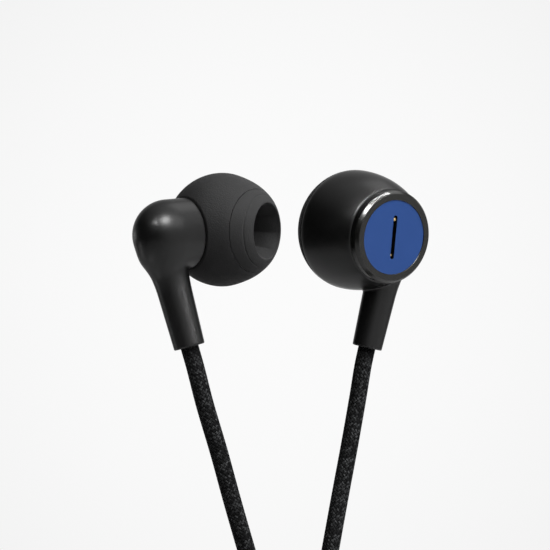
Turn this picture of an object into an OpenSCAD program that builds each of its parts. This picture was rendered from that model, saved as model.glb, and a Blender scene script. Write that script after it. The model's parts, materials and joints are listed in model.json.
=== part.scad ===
// Wired in-ear earphones with a braided lead, held up by the ears.
// Millimetres, +Z up, +X to the wearer's other ear, -Y is the front.
// The origin is the middle of the left ear tip, where the ear holds it.

/* [Left earpiece] */
// radius of the ball-shaped left ear tip
left_ball_r = 6.4; // [5.6:0.1:7.2]
// heading of the left barrel, from +X towards +Y
left_barrel_turn = 36; // [26:1:46]
// upward tilt of the left barrel
left_barrel_rise = 5; // [0:1:10]
// heading of the left sound outlet
left_outlet_turn = -28; // [-36:1:-18]
// upward tilt of the left sound outlet
left_outlet_rise = -2; // [-8:1:4]
// outer radius of the barrel and of its domed end
barrel_r = 3.95; // [3.7:0.05:4.3]
// length of the barrel from the dome's middle to its rim
barrel_len = 2.45; // [2.2:0.05:3.2]
// wall of the barrel
barrel_wall = 0.55; // [0.45:0.05:0.7]

/* [Right earpiece] */
// step across from the left earpiece's middle to the right one's
ear_gap = 15.1; // [14.7:0.1:20]
// how far the right earpiece lies behind the left one
ear_back = 12; // [10:0.5:16]
// how far the right earpiece lies above the left one
ear_up = 0.2; // [0:0.1:2]
// heading of the right earpiece, from its cap to its ear tip
right_turn = 125.2; // [118:0.2:138]
// upward tilt of the right earpiece
right_rise = 7.4; // [0:0.2:12]
// largest radius of the bell-shaped shell
bell_r = 7; // [6.7:0.05:7.4]
// distance from the cap's face to the bell's largest radius
bell_depth = 7.7; // [7.2:0.1:8.4]
// bell shell beyond its largest radius
bell_lip = 1.1; // [0.8:0.1:1.5]
// wall of the bell
bell_wall = 0.8; // [0.6:0.1:1]
// height of the soft dome beyond the bell's largest radius
dome_depth = 5.7; // [5.1:0.1:6.4]

/* [Trim ring and cap] */
// outer radius of the trim ring
ring_r = 5.34; // [5.2:0.02:5.7]
// length of the trim ring
ring_len = 1.3; // [1.15:0.05:1.7]
// step in the trim ring's radius over its bevelled shoulder
ring_bevel = 0.2; // [0.1:0.02:0.3]
// length of the trim ring's bevelled shoulder
ring_bevel_len = 0.6; // [0.4:0.05:0.8]
// radius of the coloured cap
cap_r = 4.28; // [4.1:0.02:4.6]
// thickness of the coloured cap
cap_len = 0.5; // [0.4:0.05:0.6]
// how far the cap lies below the ring's face
cap_recess = 0.1; // [0.05:0.05:0.2]
// length of the vent slot in the cap
slot_len = 5.05; // [4:0.05:5.6]
// width of the vent slot
slot_w = 0.54; // [0.4:0.02:0.7]
// turn of the slot away from upright
slot_turn = 1; // [0:1:15]

/* [Ear tips] */
// radius of the sound outlet's mouth
mouth_r = 3.1; // [2.8:0.05:3.3]
// radius of the narrow inner outlet
throat_r = 2.3; // [2.1:0.05:2.5]
// wall of the firm core round the outlet
core_wall = 0.9; // [0.7:0.05:1]
// distance from the ball's middle to the core's front flange
flange_at = 4.34; // [4.1:0.02:4.5]
// turn of the front flange from the sound outlet towards the front
flange_skew = 9; // [0:1:12]
// outer radius of both sound nozzles
nozzle_r = 2.3; // [2.1:0.05:2.4]
// wall of the nozzle
nozzle_wall = 0.4; // [0.3:0.05:0.5]
// length of the left nozzle beyond the barrel's rim
left_nozzle_len = 3.9; // [3.4:0.1:4.2]
// length of the right nozzle beyond the baffle
right_nozzle_len = 2.4; // [2:0.1:2.6]
// clearance of the ear tips round their nozzles
tip_fit = 0.05; // [0.02:0.01:0.09]
// gap between an ear tip and the hard shell it faces
tip_gap = 0.12; // [0.1:0.01:0.3]

/* [Stems] */
// radius of a stem at its lower end
stem_r = 1.74; // [1.65:0.02:1.9]
// height of a stem above its lower end
stem_len = 11.2; // [10.6:0.1:11.4]
// gain in radius for each millimetre of stem
stem_taper = 0.03; // [0.01:0.005:0.05]
// height where the flare towards the housing begins
flare_at = 6.2; // [5.4:0.1:7]
// strength of the flare
flare_gain = 0.032; // [0.025:0.001:0.04]
// drop from the left elbow to the lower end of its stem
left_stem_drop = 12.4; // [12:0.1:12.8]
// sideways step from the left elbow to the lower end of its stem
left_stem_step = 2.4; // [2:0.1:2.8]
// lean of the left stem from upright
left_stem_lean = 15; // [10:1:18]
// drop from the middle of the right bell to the lower end of its stem
right_stem_drop = 13.75; // [13.3:0.05:14.1]
// sideways step from the middle of the right bell to the lower end of its stem
right_stem_step = 1.45; // [1:0.05:1.8]
// forward step from the middle of the right bell to the lower end of its stem
right_stem_front = 0.7; // [0.3:0.1:1.1]
// lean of the right stem from upright
right_stem_lean = -12.9; // [-16:0.1:-9]
// radius of the grommet in the stem's end
grommet_r = 1.35; // [1.25:0.05:1.45]
// length of the grommet
grommet_len = 2.4; // [2:0.1:3]

/* [Drivers] */
// gap between the left driver and the barrel round it
driver_gap = 0.2; // [0.05:0.05:0.35]
// radius of the right driver
right_driver_r = 4.8; // [4.5:0.05:5]
// depth of both drivers
driver_len = 2.2; // [2:0.1:2.4]
// wall of the driver's basket
basket_wall = 0.3; // [0.25:0.05:0.4]

/* [Lead] */
// diameter of each single cord
cord_d = 2; // [1.9:0.05:2.1]
// diameter of the main cord
main_d = 2.4; // [2.3:0.05:2.5]
// loops in the hank of each single cord
cord_loops = 3; // [2:1:3]
// loops in the hank of the main cord
main_loops = 6; // [4:1:7]

/* [Splitter and plug] */
// length of the splitter
splitter_len = 13; // [11:0.5:14]
// radius of the splitter at its upper end
splitter_r = 2.9; // [2.8:0.05:3.2]
// radius of the plug's grip
grip_r = 3.1; // [2.9:0.05:3.5]
// length of the plug's grip
grip_len = 14; // [12:0.5:16]
// length of the plug's strain relief
relief_len = 7; // [6:0.5:8]
// radius of the plug's shaft
shaft_r = 1.75; // [1.7:0.05:1.8]
// length of the plug's shaft with its tip
shaft_len = 14; // [13.5:0.5:14.5]

/* [Hidden] */

$fn = 96;
cut = 1; // how far a cutting tool reaches past what it cuts

// Points along the two single cords, from the stems down to their hanks.
left_route = [
    [-3.1, -4.4, -14.9], [-2, -4.3, -19.2], [-0.4, -3.8, -24.7], [1.1, -3, -30.3],
    [2.7, -2, -36], [4.2, -0.9, -41.2], [5.5, 0.2, -46], [6.6, 1.1, -50.2], [7.1, 1.5, -54]
];
right_route = [
    [16.2, 11.2, -15.1], [15.5, 10.8, -19.2], [14.5, 9.8, -24.7], [13.4, 8.3, -30.3],
    [12.3, 6.6, -36], [11.3, 4.9, -41.2], [10.4, 3.3, -46], [9.8, 2.1, -50.2], [9.7, 1.5, -54]
];
// Points along the main cord, from the splitter to its hank.
main_route = [
    [8.4, 9, -109], [8.4, 9, -111.4], [7.5, 9, -115.2], [4.9, 9, -118.7], [2.3, 9, -122.2],
    [1, 9, -126], [0.9, 9, -129.4]
];

// Hanks: straight runs with half turns at their ends.
cord_r = cord_d / 2;
main_r = main_d / 2;
cord_run = 30;
main_run = 37.5;
cord_turn_r = 6;
main_turn_r = 7.5;
cord_pitch = cord_d + 0.5;
main_pitch = main_d + 0.5;
cord_tail = 10;
main_tail = 4;
cord_waist = 1.6; // how far the tie draws the outer runs in
main_waist = 2;
run_steps = 4;
turn_steps = 8;
hank_sides = 6;
cord_sides = 8;
tie_h = 7;
tie_wall = 0.8;
tie_gap = 0.45;

// Directions and places of the two earpieces.
function heading(turn, rise) = [cos(rise) * cos(turn), cos(rise) * sin(turn), sin(rise)];
left_barrel = heading(left_barrel_turn, left_barrel_rise);
left_seat = sqrt(left_ball_r * left_ball_r - barrel_r * barrel_r); // rim circle lies on the ball
left_elbow = -(left_seat + barrel_len) * left_barrel;
right_axis = heading(right_turn, right_rise);
right_middle = [ear_gap, ear_back, ear_up];
right_face = right_middle - bell_depth * right_axis;

// Lower ends of the two stems.
left_stem_foot = left_elbow + [left_stem_step, 0, -left_stem_drop];
right_stem_foot = right_middle + [right_stem_step, -right_stem_front, -right_stem_drop];

// Profile of a stem, wider towards its housing.
function stem_radius(s) = stem_r + stem_taper * s + flare_gain * pow(max(0, s - flare_at), 2);
stem_steps = 22;

// Turns local +Z onto a heading.
module point_to(turn, rise) {
    rotate([0, 90 - rise, turn]) children();
}

// Local +Z runs from the left elbow to the ball's middle, which is at z = 0.
module on_left_barrel() {
    point_to(left_barrel_turn, left_barrel_rise) children();
}

module on_left_outlet() {
    point_to(left_outlet_turn, left_outlet_rise) children();
}

module on_left_flange() {
    point_to(left_outlet_turn - flange_skew, left_outlet_rise) children();
}

// Local +Z runs from the right cap to the ear tip, with the cap's face at z = 0.
module on_right_axis() {
    translate(right_face) point_to(right_turn, right_rise) children();
}

module on_left_stem() {
    translate(left_stem_foot) rotate([0, -left_stem_lean, 0]) children();
}

module on_right_stem() {
    translate(right_stem_foot) rotate([0, -right_stem_lean, 0]) children();
}

module tube(outer, inner, h) {
    difference() {
        cylinder(r = outer, h = h);
        translate([0, 0, -cut]) cylinder(r = inner, h = h + 2 * cut);
    }
}

// ---------- stems ----------

channel_r = 0.9; // wire channel between the grommet and the housing
crimp_len = 1.6;
end_bevel = 0.15;

module stem_body() {
    rotate_extrude() polygon(concat(
        [[0, 0], [stem_r - end_bevel, 0], [stem_radius(end_bevel), end_bevel]],
        [for (i = [1:stem_steps]) let (s = stem_len * i / stem_steps) [stem_radius(s), s]],
        [[0, stem_len]]
    ));
}

module stem_bore() {
    translate([0, 0, -cut]) cylinder(r = grommet_r, h = grommet_len + cut);
    cylinder(r = channel_r, h = stem_len);
}

// Rubber bush in the mouth of the stem, flush with its end.
module grommet() {
    tube(grommet_r, 0.45, grommet_len);
}

// Crimp that stops the wires above the grommet.
module crimp() {
    translate([0, 0, grommet_len]) cylinder(r = channel_r - 0.05, h = crimp_len);
}

// ---------- drivers: local +Z is towards the ear, z = 0 is the back ----------

yoke_floor = 0.45;
yoke_wall = 0.4;
coil_gap = 0.12;
coil_wall = 0.16;
plate_h = 0.35;
board_h = 0.4;

function yoke_r(r) = r * 0.62;
function magnet_r(r) = yoke_r(r) - yoke_wall - 2 * coil_gap - coil_wall;

// Cup with a rear seat for the yoke and vents through its floor.
module basket(r) {
    difference() {
        cylinder(r = r, h = driver_len);
        translate([0, 0, basket_wall]) cylinder(r = r - basket_wall, h = driver_len);
        translate([0, 0, -cut]) cylinder(r = yoke_r(r), h = basket_wall + 2 * cut);
        for (a = [0:60:300])
            rotate([0, 0, a]) translate([(r + yoke_r(r) - basket_wall) / 2, 0, -cut])
                cylinder(r = (r - yoke_r(r)) * 0.2, h = basket_wall + 2 * cut);
    }
}

module yoke(r) {
    difference() {
        cylinder(r = yoke_r(r), h = driver_len - 0.7);
        translate([0, 0, yoke_floor]) cylinder(r = yoke_r(r) - yoke_wall, h = driver_len);
    }
}

module magnet(r) {
    translate([0, 0, yoke_floor]) cylinder(r = magnet_r(r), h = magnet_h);
}

magnet_h = driver_len - 0.7 - yoke_floor - plate_h;

module pole_plate(r) {
    translate([0, 0, yoke_floor + magnet_h]) cylinder(r = magnet_r(r) + 0.02, h = plate_h);
}

module voice_coil(r) {
    coil_foot = yoke_floor + 0.3;
    translate([0, 0, coil_foot])
        tube(magnet_r(r) + coil_gap + coil_wall, magnet_r(r) + coil_gap, driver_len - 0.3 - coil_foot);
}

// Thin membrane with a raised dome and a surround seated in the basket's mouth.
module diaphragm(r) {
    film = 0.08;
    seat = driver_len - 0.3;
    rise = 0.25;
    dome_r = magnet_r(r) + coil_gap + coil_wall;
    rim_r = r - basket_wall;
    translate([0, 0, seat]) rotate_extrude() polygon([
        [0, rise], [dome_r * 0.6, rise * 0.7], [dome_r, 0], [(dome_r + rim_r) / 2, rise * 0.8],
        [rim_r - 0.15, 0], [rim_r, 0], [rim_r, film], [rim_r - 0.12, film],
        [(dome_r + rim_r) / 2, rise * 0.8 + film], [dome_r, film],
        [dome_r * 0.6, rise * 0.7 + film], [0, rise + film]
    ]);
}

// Solder board on the back of the driver, a ring with two pads.
module terminal_board(r) {
    difference() {
        translate([0, 0, -board_h]) cylinder(r = yoke_r(r) * 0.8, h = board_h);
        translate([0, 0, -board_h - cut]) cylinder(r = yoke_r(r) * 0.3, h = board_h + 2 * cut);
    }
    for (side = [-1, 1])
        translate([side * yoke_r(r) * 0.55 - 0.3, -0.25, -board_h - 0.12]) cube([0.6, 0.5, 0.12]);
}

// ---------- left earpiece ----------

front_plate = 0.1; // the plate that closes the left barrel
left_driver_r = barrel_r - barrel_wall - driver_gap;
left_driver_back = -left_seat - driver_len - front_plate;
left_cavity_back = left_driver_back - board_h - 0.3;

// Dome, barrel and flared stem in one moulding.
module left_shell() {
    color("#17181a") difference() {
        union() {
            on_left_barrel() translate([0, 0, -left_seat - barrel_len]) rotate_extrude() {
                intersection() {
                    circle(r = barrel_r);
                    translate([0, -barrel_r]) square([barrel_r, barrel_r]);
                }
                square([barrel_r, barrel_len]);
            }
            on_left_stem() stem_body();
        }
        on_left_barrel() translate([0, 0, left_cavity_back])
            cylinder(r = barrel_r - barrel_wall, h = -left_seat - left_cavity_back + cut);
        on_left_stem() stem_bore();
    }
}

// Front plate in the barrel's mouth with the nozzle tube.
module left_nozzle() {
    color("#202124") on_left_barrel() translate([0, 0, -left_seat]) difference() {
        union() {
            translate([0, 0, -front_plate]) cylinder(r = barrel_r - barrel_wall, h = front_plate);
            cylinder(r = nozzle_r, h = left_nozzle_len);
        }
        translate([0, 0, -front_plate - cut])
            cylinder(r = nozzle_r - nozzle_wall, h = left_nozzle_len + front_plate + 2 * cut);
    }
}

mesh_h = 0.12;

module left_nozzle_mesh() {
    color("#8d8f92") on_left_barrel() translate([0, 0, left_nozzle_len - left_seat])
        cylinder(r = nozzle_r, h = mesh_h);
}

// Firm inner part of the left tip: a cup that ends in the front flange, with the
// sound outlet bored through it and a sleeve that grips the nozzle.
left_sleeve_r = nozzle_r + tip_fit + 0.6;
left_tip_back = left_seat - tip_gap;
cup_r = mouth_r + core_wall;
cup_floor = 1;
cup_back = -3;
funnel_at = 1.2; // where the outlet widens towards its mouth
mouth_z = sqrt(left_ball_r * left_ball_r - mouth_r * mouth_r);
flange_r = sqrt(left_ball_r * left_ball_r - flange_at * flange_at);
flange_edge = 0.12; // bevel that leaves a fine line round the flange

// Half of the ball's outline between two heights.
module ball_half(z0, z1) {
    intersection() {
        circle(r = left_ball_r);
        translate([0, z0]) square([left_ball_r, z1 - z0]);
    }
}

module left_sleeve(past = 0) {
    on_left_barrel() translate([0, 0, -left_tip_back - past])
        cylinder(r = left_sleeve_r, h = left_tip_back + past);
}

module left_tip_core() {
    nozzle_end = left_seat - left_nozzle_len - mesh_h - 0.2;
    color("#26272a") difference() {
        union() {
            on_left_flange() rotate_extrude() difference() {
                ball_half(flange_at, left_ball_r);
                polygon([[flange_r - flange_edge, flange_at - cut], [flange_r - flange_edge, flange_at],
                    [flange_r + cut, flange_at + flange_edge + cut], [flange_r + cut, flange_at - cut]]);
            }
            on_left_flange() translate([0, 0, cup_back]) cylinder(r = cup_r, h = flange_at - cup_back);
            left_sleeve();
        }
        on_left_barrel() translate([0, 0, -left_ball_r])
            cylinder(r = nozzle_r + tip_fit, h = left_ball_r - nozzle_end);
        on_left_outlet() rotate_extrude() polygon([
            [0, cup_back + cup_floor], [throat_r, cup_back + cup_floor], [throat_r, funnel_at],
            [mouth_r - 0.3, funnel_at + 0.4], [mouth_r, mouth_z], [mouth_r, left_ball_r + cut],
            [0, left_ball_r + cut]
        ]);
    }
}

// Soft ball round the core, open at the front up to the flange.
module left_ear_tip() {
    color("#2b2c2f") difference() {
        on_left_flange() rotate_extrude() difference() {
            ball_half(-left_ball_r, flange_at);
            translate([0, cup_back]) square([cup_r, flange_at - cup_back + cut]);
        }
        left_sleeve(cut);
        on_left_barrel() translate([0, 0, -left_ball_r - cut])
            cylinder(r = left_ball_r, h = left_ball_r + cut - left_tip_back);
    }
}

module on_left_driver() {
    on_left_barrel() translate([0, 0, left_driver_back]) children();
}

module left_basket() { color("#3a3b3e") on_left_driver() basket(left_driver_r); }
module left_yoke() { color("#8f9194") on_left_driver() yoke(left_driver_r); }
module left_magnet() { color("#6f7073") on_left_driver() magnet(left_driver_r); }
module left_pole_plate() { color("#9b9da0") on_left_driver() pole_plate(left_driver_r); }
module left_voice_coil() { color("#b3702f") on_left_driver() voice_coil(left_driver_r); }
module left_diaphragm() { color("#c9b98a") on_left_driver() diaphragm(left_driver_r); }
module left_terminal_board() { color("#1f5a34") on_left_driver() terminal_board(left_driver_r); }
module left_grommet() { color("#101113") on_left_stem() grommet(); }
module left_crimp() { color("#a5884a") on_left_stem() crimp(); }

// ---------- right earpiece ----------

bell_back_r = ring_r + 0.04; // the bell starts just outside the trim ring
bell_sweep = (bell_depth - ring_len) / sqrt(1 - pow(bell_back_r / bell_r, 2));
function bell_radius(z) = bell_r * sqrt(1 - pow((bell_depth - z) / bell_sweep, 2));
function dome_radius(z) = bell_r * sqrt(1 - pow((z - bell_depth) / dome_depth, 2));
bell_end = bell_depth + bell_lip;
bell_steps = 16;
ring_wall = 1.2; // wall of the bell behind the trim ring
vent_r = 1.6; // hole through that wall
baffle_h = 0.6;
right_driver_back = bell_end - baffle_h - driver_len;
baffle_r = dome_radius(bell_end) - bell_wall;
mouth_at = bell_depth + dome_depth * sqrt(1 - pow((mouth_r + 0.35) / bell_r, 2));

module bell_outside() {
    rotate_extrude() polygon(concat(
        [[0, ring_len]],
        [for (i = [0:bell_steps]) let (z = ring_len + (bell_depth - ring_len) * i / bell_steps)
            [bell_radius(z), z]],
        [for (i = [1:4]) let (z = bell_depth + bell_lip * i / 4) [dome_radius(z), z]],
        [[0, bell_end]]
    ));
}

// The room for the driver, closed behind by the wall that carries the trim ring.
module bell_inside() {
    back = ring_len + ring_wall;
    rotate_extrude() polygon(concat(
        [[0, back]],
        [for (i = [0:bell_steps]) let (z = back + (bell_depth - back) * i / bell_steps)
            [bell_radius(z) - bell_wall, z]],
        [for (i = [1:4]) let (z = bell_depth + bell_lip * i / 4) [dome_radius(z) - bell_wall, z]],
        [[baffle_r, bell_end + cut], [0, bell_end + cut]]
    ));
}

module right_shell() {
    color("#1b1c1e") difference() {
        union() {
            on_right_axis() bell_outside();
            on_right_stem() stem_body();
        }
        on_right_axis() {
            bell_inside();
            translate([0, 0, -ring_r]) cylinder(r = bell_back_r, h = ring_len + ring_r);
            cylinder(r = vent_r, h = bell_depth);
        }
        on_right_stem() stem_bore();
    }
}

// Closes the bell and carries the nozzle.
module right_baffle() {
    color("#202124") on_right_axis() translate([0, 0, bell_end - baffle_h]) difference() {
        union() {
            cylinder(r = baffle_r, h = baffle_h);
            cylinder(r = nozzle_r, h = baffle_h + right_nozzle_len);
        }
        translate([0, 0, -cut])
            cylinder(r = nozzle_r - nozzle_wall, h = baffle_h + right_nozzle_len + 2 * cut);
    }
}

module right_nozzle_mesh() {
    color("#8d8f92") on_right_axis() translate([0, 0, bell_end + right_nozzle_len])
        cylinder(r = nozzle_r, h = mesh_h);
}

right_tip_back = bell_end + tip_gap;
right_core_r = mouth_r + 0.45;

// Sleeve on the nozzle that opens into the mouth.
module right_tip_core() {
    nozzle_end = bell_end + right_nozzle_len + mesh_h + 0.1;
    color("#26272a") on_right_axis() difference() {
        translate([0, 0, right_tip_back]) cylinder(r = right_core_r, h = mouth_at - right_tip_back);
        translate([0, 0, right_tip_back - cut])
            cylinder(r = nozzle_r + tip_fit, h = nozzle_end - right_tip_back + cut);
        translate([0, 0, nozzle_end - 0.01])
            cylinder(r1 = nozzle_r - 0.1, r2 = mouth_r, h = mouth_at - nozzle_end + 0.02);
    }
}

// Soft dome that carries the bell's outline on to the mouth.
module right_ear_tip() {
    steps = 14;
    color("#2b2c2f") on_right_axis() difference() {
        rotate_extrude() polygon(concat(
            [[0, right_tip_back]],
            [for (i = [0:steps]) let (z = right_tip_back + (mouth_at - right_tip_back)
                * sin(90 * i / steps)) [dome_radius(z), z]],
            [[0, mouth_at]]
        ));
        translate([0, 0, right_tip_back - cut])
            cylinder(r = right_core_r, h = mouth_at - right_tip_back + 2 * cut);
    }
}

// Bevelled ring that frames the cap.
module right_trim_ring() {
    ledge = ring_len - cap_recess - cap_len;
    color("#0e0f10") on_right_axis() rotate_extrude() polygon([
        [cap_r, 0.06], [cap_r + 0.06, 0], [ring_r - ring_bevel, 0], [ring_r, ring_bevel_len],
        [ring_r, ring_len], [cap_r - 0.5, ring_len], [cap_r - 0.5, ring_len - ledge],
        [cap_r, ring_len - ledge]
    ]);
}

module slot_outline(w, l) {
    square([l - w, w], center = true);
    for (side = [-1, 1]) translate([side * (l - w) / 2, 0]) circle(d = w, $fn = 48);
}

// Local X of the right axis frame points down, so the slot's length lies along it.
module right_cap() {
    color("#2b4d9b") on_right_axis() translate([0, 0, cap_recess]) difference() {
        cylinder(r = cap_r, h = cap_len);
        translate([0, 0, -cut]) linear_extrude(cap_len + 2 * cut) rotate(slot_turn)
            slot_outline(slot_w, slot_len);
    }
}

// Gold acoustic mesh behind the slot.
module right_vent_mesh() {
    color("#b8934a") on_right_axis() translate([0, 0, cap_recess + cap_len])
        cylinder(r = cap_r - 0.5, h = 0.15);
}

module on_right_driver() {
    on_right_axis() translate([0, 0, right_driver_back]) children();
}

module right_basket() { color("#3a3b3e") on_right_driver() basket(right_driver_r); }
module right_yoke() { color("#8f9194") on_right_driver() yoke(right_driver_r); }
module right_magnet() { color("#6f7073") on_right_driver() magnet(right_driver_r); }
module right_pole_plate() { color("#9b9da0") on_right_driver() pole_plate(right_driver_r); }
module right_voice_coil() { color("#b3702f") on_right_driver() voice_coil(right_driver_r); }
module right_diaphragm() { color("#c9b98a") on_right_driver() diaphragm(right_driver_r); }
module right_terminal_board() { color("#1f5a34") on_right_driver() terminal_board(right_driver_r); }
module right_grommet() { color("#101113") on_right_stem() grommet(); }
module right_crimp() { color("#a5884a") on_right_stem() crimp(); }

// ---------- cords ----------

function unit(v) = v / norm(v);

// Direction of a route at each of its points.
function travel(path, i) =
    i == 0 ? unit(path[1] - path[0]) :
    i == len(path) - 1 ? unit(path[i] - path[i - 1]) :
    unit(unit(path[i + 1] - path[i]) + unit(path[i] - path[i - 1]));

// One closed tube along a route; the routes stay close to the XZ plane.
module sweep(path, r, sides, first, last) {
    n = len(path);
    rings = [for (i = [0:n - 1])
        let (t = i == 0 ? first : i == n - 1 ? last : travel(path, i),
            u = unit(cross(t, [0, 1, 0])),
            v = cross(t, u))
        for (k = [0:sides - 1]) path[i] + r * (cos(360 * k / sides) * u + sin(360 * k / sides) * v)];
    faces = concat(
        [for (k = [1:sides - 2]) [0, k, k + 1]],
        [for (i = [0:n - 2]) for (k = [0:sides - 1]) for (half = [0, 1])
            let (a = i * sides + k, b = i * sides + (k + 1) % sides)
            half == 0 ? [a, a + sides, b + sides] : [a, b + sides, b]],
        [for (k = [1:sides - 2]) let (base = (n - 1) * sides) [base, base + k + 1, base + k]]
    );
    polyhedron(points = rings, faces = faces, convexity = 10);
}

down = [0, 0, -1];
left_exit = [sin(left_stem_lean), 0, -cos(left_stem_lean)];
right_exit = [sin(right_stem_lean), 0, -cos(right_stem_lean)];

module left_cord() {
    color("#141416") sweep(concat([left_stem_foot], left_route), cord_r, cord_sides, left_exit, down);
}

module right_cord() {
    color("#141416") sweep(concat([right_stem_foot], right_route), cord_r, cord_sides, right_exit, down);
}

// A hank starts down its inner run, turns out, climbs one pitch along the outer
// run, where the tie draws it in, and turns in again.
function ease(f) = f * f * (3 - 2 * f);
function hank_loop(run, turn_r, waist, pitch, side, wrap) = concat(
    [for (i = [1:run_steps]) [0, wrap * pitch, -run * i / run_steps]],
    [for (i = [1:turn_steps]) let (a = 180 * i / turn_steps)
        [side * turn_r * (1 - cos(a)), wrap * pitch, -run - turn_r * sin(a)]],
    [for (i = [1:run_steps]) let (f = i / run_steps)
        [side * (2 * turn_r - waist * pow(sin(180 * f), 2)), (wrap + ease(f)) * pitch,
            -run * (1 - f)]],
    [for (i = [1:turn_steps]) let (a = 180 * i / turn_steps)
        [side * turn_r * (1 + cos(a)), (wrap + 1) * pitch, turn_r * sin(a)]]
);
function hank_path(start, lead, run, turn_r, waist, pitch, side, loops, tail) = concat(
    [start],
    [for (wrap = [0:loops - 1]) for (p = hank_loop(run, turn_r, waist, pitch, side, wrap))
        start + [0, 0, -lead] + p],
    [for (i = [1:run_steps]) start + [0, loops * pitch, -lead - run * i / run_steps]],
    [start + [0, loops * pitch, -lead - run - tail]]
);

left_hank_path = hank_path(left_route[8], cord_d, cord_run, cord_turn_r, cord_waist, cord_pitch,
    -1, cord_loops, cord_tail);
right_hank_path = hank_path(right_route[8], cord_d, cord_run, cord_turn_r, cord_waist, cord_pitch,
    1, cord_loops, cord_tail);
main_hank_path = hank_path(main_route[6], main_d, main_run, main_turn_r, main_waist, -main_pitch,
    1, main_loops, main_tail);

// Least free gap of a tube to itself, between points more than half a turn apart.
function self_gap(path, r, away) = min([for (i = [0:len(path) - 1]) for (j = [0:len(path) - 1])
    if (j > i + away) norm(path[i] - path[j])]) - 2 * r;
function path_length(path) = [for (i = 1, s = norm(path[1] - path[0]); i < len(path);
    i = i + 1, s = s + (i < len(path) ? norm(path[i] - path[i - 1]) : 0)) s][len(path) - 2];
echo(cord_hank_gap = self_gap(left_hank_path, cord_r, turn_steps));
echo(main_hank_gap = self_gap(main_hank_path, main_r, turn_steps));
echo(left_length = path_length(concat([left_stem_foot], left_route)) + path_length(left_hank_path));
echo(right_length = path_length(concat([right_stem_foot], right_route)) + path_length(right_hank_path));
echo(main_length = path_length(main_route) + path_length(main_hank_path));

module left_hank() {
    color("#141416") sweep(left_hank_path, cord_r, hank_sides, down, down);
}

module right_hank() {
    color("#141416") sweep(right_hank_path, cord_r, hank_sides, down, down);
}

module main_cord() {
    color("#141416") sweep(main_route, main_r, cord_sides, down, down);
}

module main_hank() {
    color("#141416") sweep(main_hank_path, main_r, hank_sides, down, down);
}

// Strap round a bundle: a flat band with round corners.
module strap(x0, x1, y0, y1, z, round_r) {
    translate([0, 0, z - tie_h / 2]) difference() {
        rounded_bar(x0 - tie_wall, x1 + tie_wall, y0 - tie_wall, y1 + tie_wall, round_r + tie_wall, tie_h);
        translate([0, 0, -cut]) rounded_bar(x0, x1, y0, y1, round_r, tie_h + 2 * cut);
    }
}

module rounded_bar(x0, x1, y0, y1, r, h) {
    linear_extrude(h) {
        translate([x0 + r, y0]) square([x1 - x0 - 2 * r, y1 - y0]);
        translate([x0, y0 + r]) square([x1 - x0, y1 - y0 - 2 * r]);
        for (x = [x0 + r, x1 - r]) for (y = [y0 + r, y1 - r]) translate([x, y]) circle(r = r, $fn = 48);
    }
}

module pair_tie() {
    reach = 2 * cord_turn_r - cord_waist + cord_r + tie_gap;
    color("#0c0c0d") strap(left_route[8].x - reach, right_route[8].x + reach,
        left_route[8].y - cord_r - tie_gap, left_route[8].y + cord_loops * cord_pitch + cord_r + tie_gap,
        left_route[8].z - cord_d - cord_run / 2, cord_r);
}

module main_tie() {
    reach = 2 * main_turn_r - main_waist + main_r + tie_gap;
    color("#0c0c0d") strap(main_route[6].x - main_r - tie_gap, main_route[6].x + reach,
        main_route[6].y - main_loops * main_pitch - main_r - tie_gap, main_route[6].y + main_r + tie_gap,
        main_route[6].z - main_d - main_run / 2, main_r);
}

// ---------- splitter ----------

splitter_top = left_route[8] + [(right_route[8].x - left_route[8].x) / 2, cord_loops * cord_pitch,
    -cord_d - cord_run - cord_tail];
splitter_floor = 1;
splitter_shoulder = 3; // where the taper towards the main cord begins
splitter_rim = 2.5; // depth of the recess that holds the cap
splitter_cap_len = 1.5;
splitter_crimp_len = 6;
splitter_lip = 0.45;

module on_splitter() {
    translate(splitter_top) mirror([0, 0, 1]) children();
}

module splitter_shell() {
    color("#141517") on_splitter() difference() {
        rotate_extrude() polygon([
            [0, 0], [splitter_r - 0.2, 0], [splitter_r, 0.2], [splitter_r, splitter_shoulder],
            [main_r + 0.75, splitter_len - 0.3], [main_r + 0.55, splitter_len], [0, splitter_len]
        ]);
        translate([0, 0, -cut]) cylinder(r = splitter_r - splitter_lip, h = splitter_rim + cut);
        cylinder(r = main_r - 0.2, h = splitter_len - splitter_floor);
    }
}

module splitter_cap() {
    color("#1c1d1f") on_splitter() cylinder(r = splitter_r - splitter_lip, h = splitter_cap_len);
}

module splitter_crimp() {
    color("#a5884a") on_splitter() translate([0, 0, splitter_cap_len])
        cylinder(r = main_r - 0.25, h = splitter_crimp_len);
}

// ---------- plug: local +Z is down, from the end of the main hank ----------

plug_top = main_route[6] + [0, -main_loops * main_pitch, -main_d - main_run - main_tail];
grip_bevel = 0.5;
collar_len = 1.8; // narrow collar at the shaft's end of the grip
collar_step = 0.7;
tip_len = 4.2;
insulator_len = 0.6;
contact_len = 2.8;
sleeve_len = shaft_len - tip_len - contact_len - 2 * insulator_len;

module on_plug(depth) {
    translate(plug_top + [0, 0, -depth]) mirror([0, 0, 1]) children();
}

module plug_relief() {
    ribs = 4;
    color("#101113") on_plug(0) rotate_extrude() difference() {
        polygon([[0, 0], [main_r + 0.15, 0], [main_r + 0.85, relief_len], [0, relief_len]]);
        for (i = [0:ribs - 1]) translate([main_r + 0.2, 1 + i * relief_len / (ribs + 1)]) square([1, 0.5]);
    }
}

module plug_grip() {
    color("#141517") on_plug(relief_len) rotate_extrude() polygon([
        [0, 0], [grip_r - grip_bevel, 0], [grip_r, grip_bevel],
        [grip_r, grip_len - collar_len - collar_step], [grip_r - collar_step, grip_len - collar_len],
        [grip_r - collar_step, grip_len], [0, grip_len]
    ]);
}

module plug_sleeve() {
    color("#c8a85a") on_plug(relief_len + grip_len) cylinder(r = shaft_r, h = sleeve_len);
}

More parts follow.
